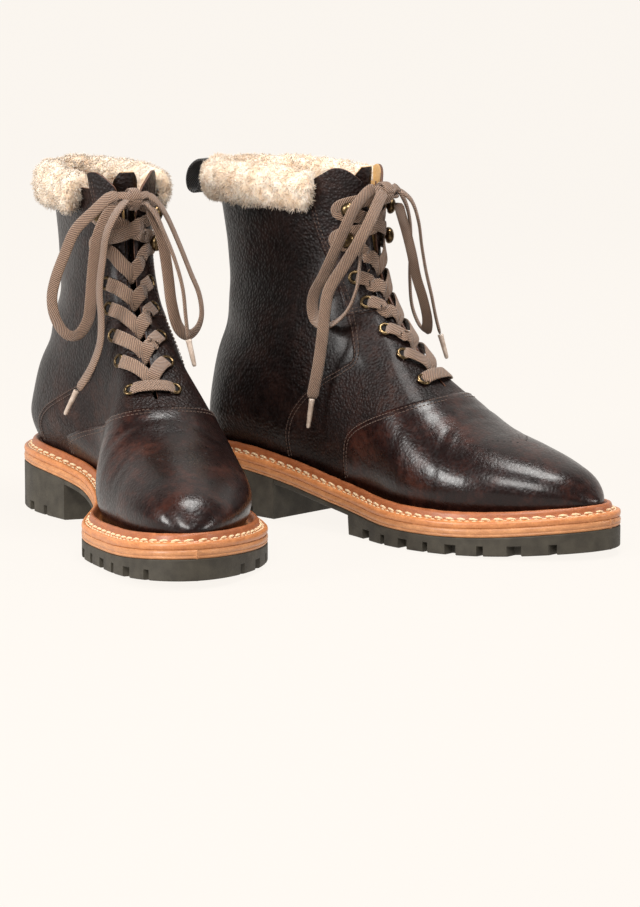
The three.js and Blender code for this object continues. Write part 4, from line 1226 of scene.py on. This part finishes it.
def pull_tab(boot):
    """A folded band of webbing; both of its ends are in the cuff's pile."""
    outside = [[4, 208], [1, 212], [-6, 212.4], [-16, 211.8], [-23.5, 206.8], [-26.4, 199.5], [-25, 192.6],
               [-20, 190.2], [-15.6, 191.8], [-13.8, 196.5], [-12.6, 202], [-9.5, 206.6], [-3, 208.8],
               [1.5, 207.2]]
    line = smooth_line(outside, 90)
    way = unit(np.gradient(line, axis=0))
    inward = np.column_stack([-way[:, 1], way[:, 0]])
    half, thick = 6.9, 1.5
    section = [(-1, 0.2), (-0.93, 0), (0, 0), (0.93, 0), (1, 0.2), (1, 0.8), (0.93, 1), (0, 1), (-0.93, 1),
               (-1, 0.8)]
    points, flat = [], []
    for (x, z), (u, w), along in zip(line, inward, distances(line)):
        for across, deep in section:
            points.append((x + u * deep * thick, SHAFT_SHIFT + across * half, z + w * deep * thick))
            flat.append((across * half, along))
    faces = tube_faces(len(line), len(section))
    place(boot, "pull_tab", np.array(points), faces, ["webbing"], body="pull_tab", nodes=["pull_tab"],
          slot="webbing", flat=flat)


# ---- hardware ----

def turned(profile, centre, out, sides=28):
    """A closed body of revolution round a normal; profile is (radius, height) pairs."""
    u = unit(np.cross(out, [0.0, 0.0, 1.0]))
    v = np.cross(out, u)
    points = []
    for k in range(sides):
        angle = 2 * math.pi * k / sides
        spoke = u * math.cos(angle) + v * math.sin(angle)
        points += [centre + out * z + spoke * r for r, z in profile]
    return np.array(points), tube_faces(sides, len(profile), closed=True, flip=True)


# (radius, height) pairs
EYELET = [(2.35, -1.6), (2.35, 0.7), (2.6, 1.25), (3.2, 1.5), (3.9, 1.3), (4.4, 0.75), (4.45, 0.3),
          (3.2, 0.2), (2.8, -1.6)]
STUD = [(0.02, -1.0), (4.0, 0.1), (4.3, 0.5), (4.1, 0.9), (2.4, 1.3), (1.9, 2.0), (1.9, 3.6), (2.6, 4.2),
        (4.2, 4.5), (5.0, 5.3), (5.1, 6.2), (4.7, 7.4), (3.7, 8.4), (2.2, 9.0), (0.9, 9.2), (0.02, 9.2)]


# A flat disc that fills each eyelet's opening; its colour is painted shade.
BORE_SHADE = [(0.02, -0.4), (2.4, -0.4), (2.4, 0.35), (0.02, 0.35)]


def hardware(boot):
    """Both rows of eyelets and studs; a near-black disc in each eyelet is painted shade standing for its
    bore.
    """
    for side, name in ((1, "lateral"), (-1, "medial")):
        z = np.array(FASTENER_Z, float)
        centres, out = front_points(np.full(len(z), SHAFT_SHIFT + side * FASTENER_Y), z, 0.9)
        spots = list(zip(centres, out))
        rings = [turned(EYELET, *spot) for spot in spots[:EYELETS]]
        dark = [turned(BORE_SHADE, *spot, 16) for spot in spots[:EYELETS]]
        studs = [turned(STUD, *spot, 32) for spot in spots[EYELETS:]]
        place(boot, f"eyelets_{name}", *joined(rings), ["brass"], nodes=[f"eyelets_{name}"], slot="brass")
        place(boot, f"eyelet_bores_{name}", *joined(dark), ["hole"], slot="brass")
        place(boot, f"studs_{name}", *joined(studs), ["brass"], nodes=[f"studs_{name}"], slot="brass")


# ---- laces ----

def ribbon(line, up, wide, thick, power=3.0, sides=14, taper=1.0):
    """A flat closed band along a line, facing up; returns points, faces and a flat map."""
    way = unit(np.gradient(line, axis=0))
    across = unit(np.cross(up, way))
    high = np.cross(way, across)
    angle = 2 * np.pi * np.arange(sides) / sides
    turn = lambda value: np.sign(value) * np.abs(value) ** (2 / power)
    u, v = turn(np.cos(angle)) * wide / 2, turn(np.sin(angle)) * thick / 2
    size = np.ones(len(line))
    size[0] = size[-1] = taper
    points = (line[:, None] + size[:, None, None] * (across[:, None] * u[None, :, None]
              + high[:, None] * v[None, :, None])).reshape(-1, 3)
    around = np.concatenate([[0], np.cumsum(np.hypot(np.diff(u), np.diff(v)))])
    flat = np.column_stack([np.tile(around, len(line)), np.repeat(distances(line), sides)])
    return points, tube_faces(len(line), sides), flat


def over_front(stops, count):
    """A smooth line over the instep through stops of (y, z, lift), with its normals."""
    dense = smooth_line(stops, count)
    return front_points(SHAFT_SHIFT + dense[:, 0], dense[:, 1], dense[:, 2])


def lace_runs():
    """The crossing bands from the lowest eyelets to the studs, each as stops of (y, z, lift)."""
    z, y = FASTENER_Z, FASTENER_Y
    low = z[0]
    runs = [[(-y, low, -1.5), (-y + 0.6, low + 0.2, 1.3), (-y * 0.6, low + 0.8, 2.9), (0, low + 1.2, 3.3),
             (y * 0.6, low + 0.8, 2.9), (y - 0.6, low + 0.2, 1.3), (y, low, -1.5)]]
    for row in range(EYELETS - 1):
        for side in (1, -1):
            low, high = z[row], z[row + 1]
            lift = 0.0 if side > 0 else 0.7
            runs.append([(side * 3, low + 2.5, -3.4), (side * 0.5, low + 4.5, -1.5 + lift),
                         (-side * 2.6, low + 7.5, 2.1 + lift), (-side * 7, high - 2.6, 3.0),
                         (-side * (y - 1.6), high - 0.4, 2.6), (-side * (y - 0.1), high + 0.2, -1.5)])
    for side in (1, -1):
        low, high, top = z[EYELETS - 1], z[EYELETS], z[EYELETS + 1]
        lift = 0.4 + 0.8 * (side > 0)
        runs.append([(side * 3, low + 2.5, -3.4), (0, low + 6, 0.2 + lift),
                     (-side * 4, low + 11, 2.4 + lift), (-side * 9, high - 4.4, 3.2),
                     (-side * (y + 2.6), high - 3.0, 3.0),
                     (-side * (y + 3.4), high + 0.5, 3.0), (-side * (y + 0.6), high + 3.6, 3.2),
                     (-side * 6, high + 6, 3.4 + lift), (0, high + 9.2, 3.3 + lift),
                     (side * 6, top - 5.2, 3.6), (side * (y + 2.4), top - 3.2, 3.1),
                     (side * (y + 3.4), top + 0.4, 3.1), (side * (y + 0.4), top + 3.4, 3.4),
                     (side * 6.5, top + 6.0, 3.6), (side * 2.4, top + 8.6, 4.6)])
    return runs


def laced_part(boot):
    """The crossing bands with the knot at their top."""
    bands = []
    for stops in lace_runs():
        line, out = over_front(stops, 8 * len(stops))
        bands.append(ribbon(line, out, LACE_WIDE, LACE_THICK, taper=0.8))
    bands += knot_bands()
    points, faces = joined([band[:2] for band in bands])
    flat = np.vstack([band[2] for band in bands])
    place(boot, "lace", points, faces, ["lace"], nodes=["lace"], slot="lace", flat=flat)


def knot_bands():
    """The bow's knot: bands wrapped round the crossing, and the starts of the loops and ends."""
    centre = np.array(KNOT, float)
    bands = []
    around, along = 34, 16
    for tilt, wide, long, high in ((0.25, 6.2, 5.6, 6.0), (-0.5, 5.4, 4.7, 5.2)):
        angle = np.linspace(0, 2 * np.pi, around)
        ring = np.column_stack([long * np.cos(angle), tilt * 5 * np.cos(angle), high * np.sin(angle)])
        bands.append(ribbon(centre + ring, ring + 1e-6, wide, 1.5))
    for side in (1, -1):
        for rise, turn in ((2.4, 2.4), (-1.6, -1.4)):
            stops = [(1.5, -side * 3.5, -rise * 0.5), (4.0, side * 1.0, 0.3 * rise),
                     (2.6, side * 6.0, rise), (1.2, side * 9.5, turn)]
            line = centre + smooth_line(stops, along)
            up = np.tile([[0.8, 0.0, 0.6]], (along, 1))
            bands.append(ribbon(line, up, 5.2, 1.9, power=2.4))
    return bands


def carried(line, first):
    """Up vectors carried along a line without twist."""
    ups = [np.array(first, float)]
    for direction in unit(np.gradient(line, axis=0)):
        ups.append(unit(ups[-1] - direction * (ups[-1] @ direction)))
    return np.array(ups[1:])


def free_laces(boot):
    """The two loops and two ends, and the aglet on each side's end."""
    routes = FREE_LACES[boot.foot]
    for name in ("medial", "lateral"):
        out = 1 if name == "lateral" else -1
        tip = aglet(boot, name, routes[f"aglet_{name}"])
        for kind in ("loop", "end"):
            line = resample(smooth_line(routes[f"{kind}_{name}"], 400), 2.0)
            up = carried(line, FLAT_SIDE[boot.foot] * np.array([1, out, 1]))
            points, faces, flat = ribbon(line, up, CORD_WIDE, CORD_THICK, power=2.3, taper=0.72)
            made = place(boot, f"lace_{kind}_{name}", points, faces, ["lace"],
                         nodes=[f"lace_{kind}_{name}"], slot="lace", flat=flat)
            path = boot.world(line)


def aglet(boot, name, ends):
    """A crimped sleeve on the lace's end."""
    start, end = (np.array(p, float) for p in ends)
    way = unit(end - start)
    over_lace = 1.2
    start = start - way * over_lace
    length = np.linalg.norm(end - start)
    shape = [(0.02, 0), (1.75, 0.01), (1.9, 0.04), (1.75, 0.1), (1.62, 0.3), (1.5, 0.6), (1.3, 0.92),
             (0.9, 0.99), (0.02, 1.0)]
    points, faces = turned([(r, z * length) for r, z in shape], start, way, 18)
    return place(boot, f"aglet_{name}", points, faces, ["aglet"], nodes=[f"aglet_{name}"], slot="aglet")


def stiffeners(boot):
    """The counter round the heel and the puff over the toes, between the leather and the lining."""
    around, rows = 240, 90
    counter_front, counter_top = 58, 76
    puff_back, puff_top = 262, 60
    depth, thick = 1.9, 1.0
    points, out = skin(around, rows)
    faces = grid_faces(around, rows + 1, True)
    worn = creases(points)
    x, z = points[:, 0], points[:, 2]
    for name, beyond, top in (("heel_counter", x - counter_front, counter_top),
                              ("toe_puff", puff_back - x, puff_top)):
        keep, kept = clip(points, faces, np.maximum.reduce([beyond, z - top, FEATHER(x) + 3 - z]))
        outer = keep(points) + keep(out) * (keep(worn) - depth)[:, None]
        sheet, sheet_faces, _ = thicken(outer, keep(out), kept, thick, 0)
        place(boot, name, sheet, sheet_faces, ["board"], nodes=[name], slot="board")


def hidden_pieces(boot):
    """The insole and the shank keep their CAD shape, inside the sole."""
    for node, look in (("insole", "board"), ("shank", "steel")):
        mesh = frame["nodes"][boot.name(node)].data
        mesh.materials.clear()
        mesh.materials.append(LOOKS[look])


camera()
stage()
BOOTS = [Boot("left"), Boot("right")]
for each in BOOTS:
    free_laces(each)
UPPER = panels()
for each in BOOTS:
    leather_panels(each, UPPER)
    for make in (seam_stitches, medallion, welt, welt_stitches, midsole, outsole, inner_sole, cuff, lining,
                 tongue, pull_tab, hardware, laced_part, stiffeners, hidden_pieces):
        make(each)
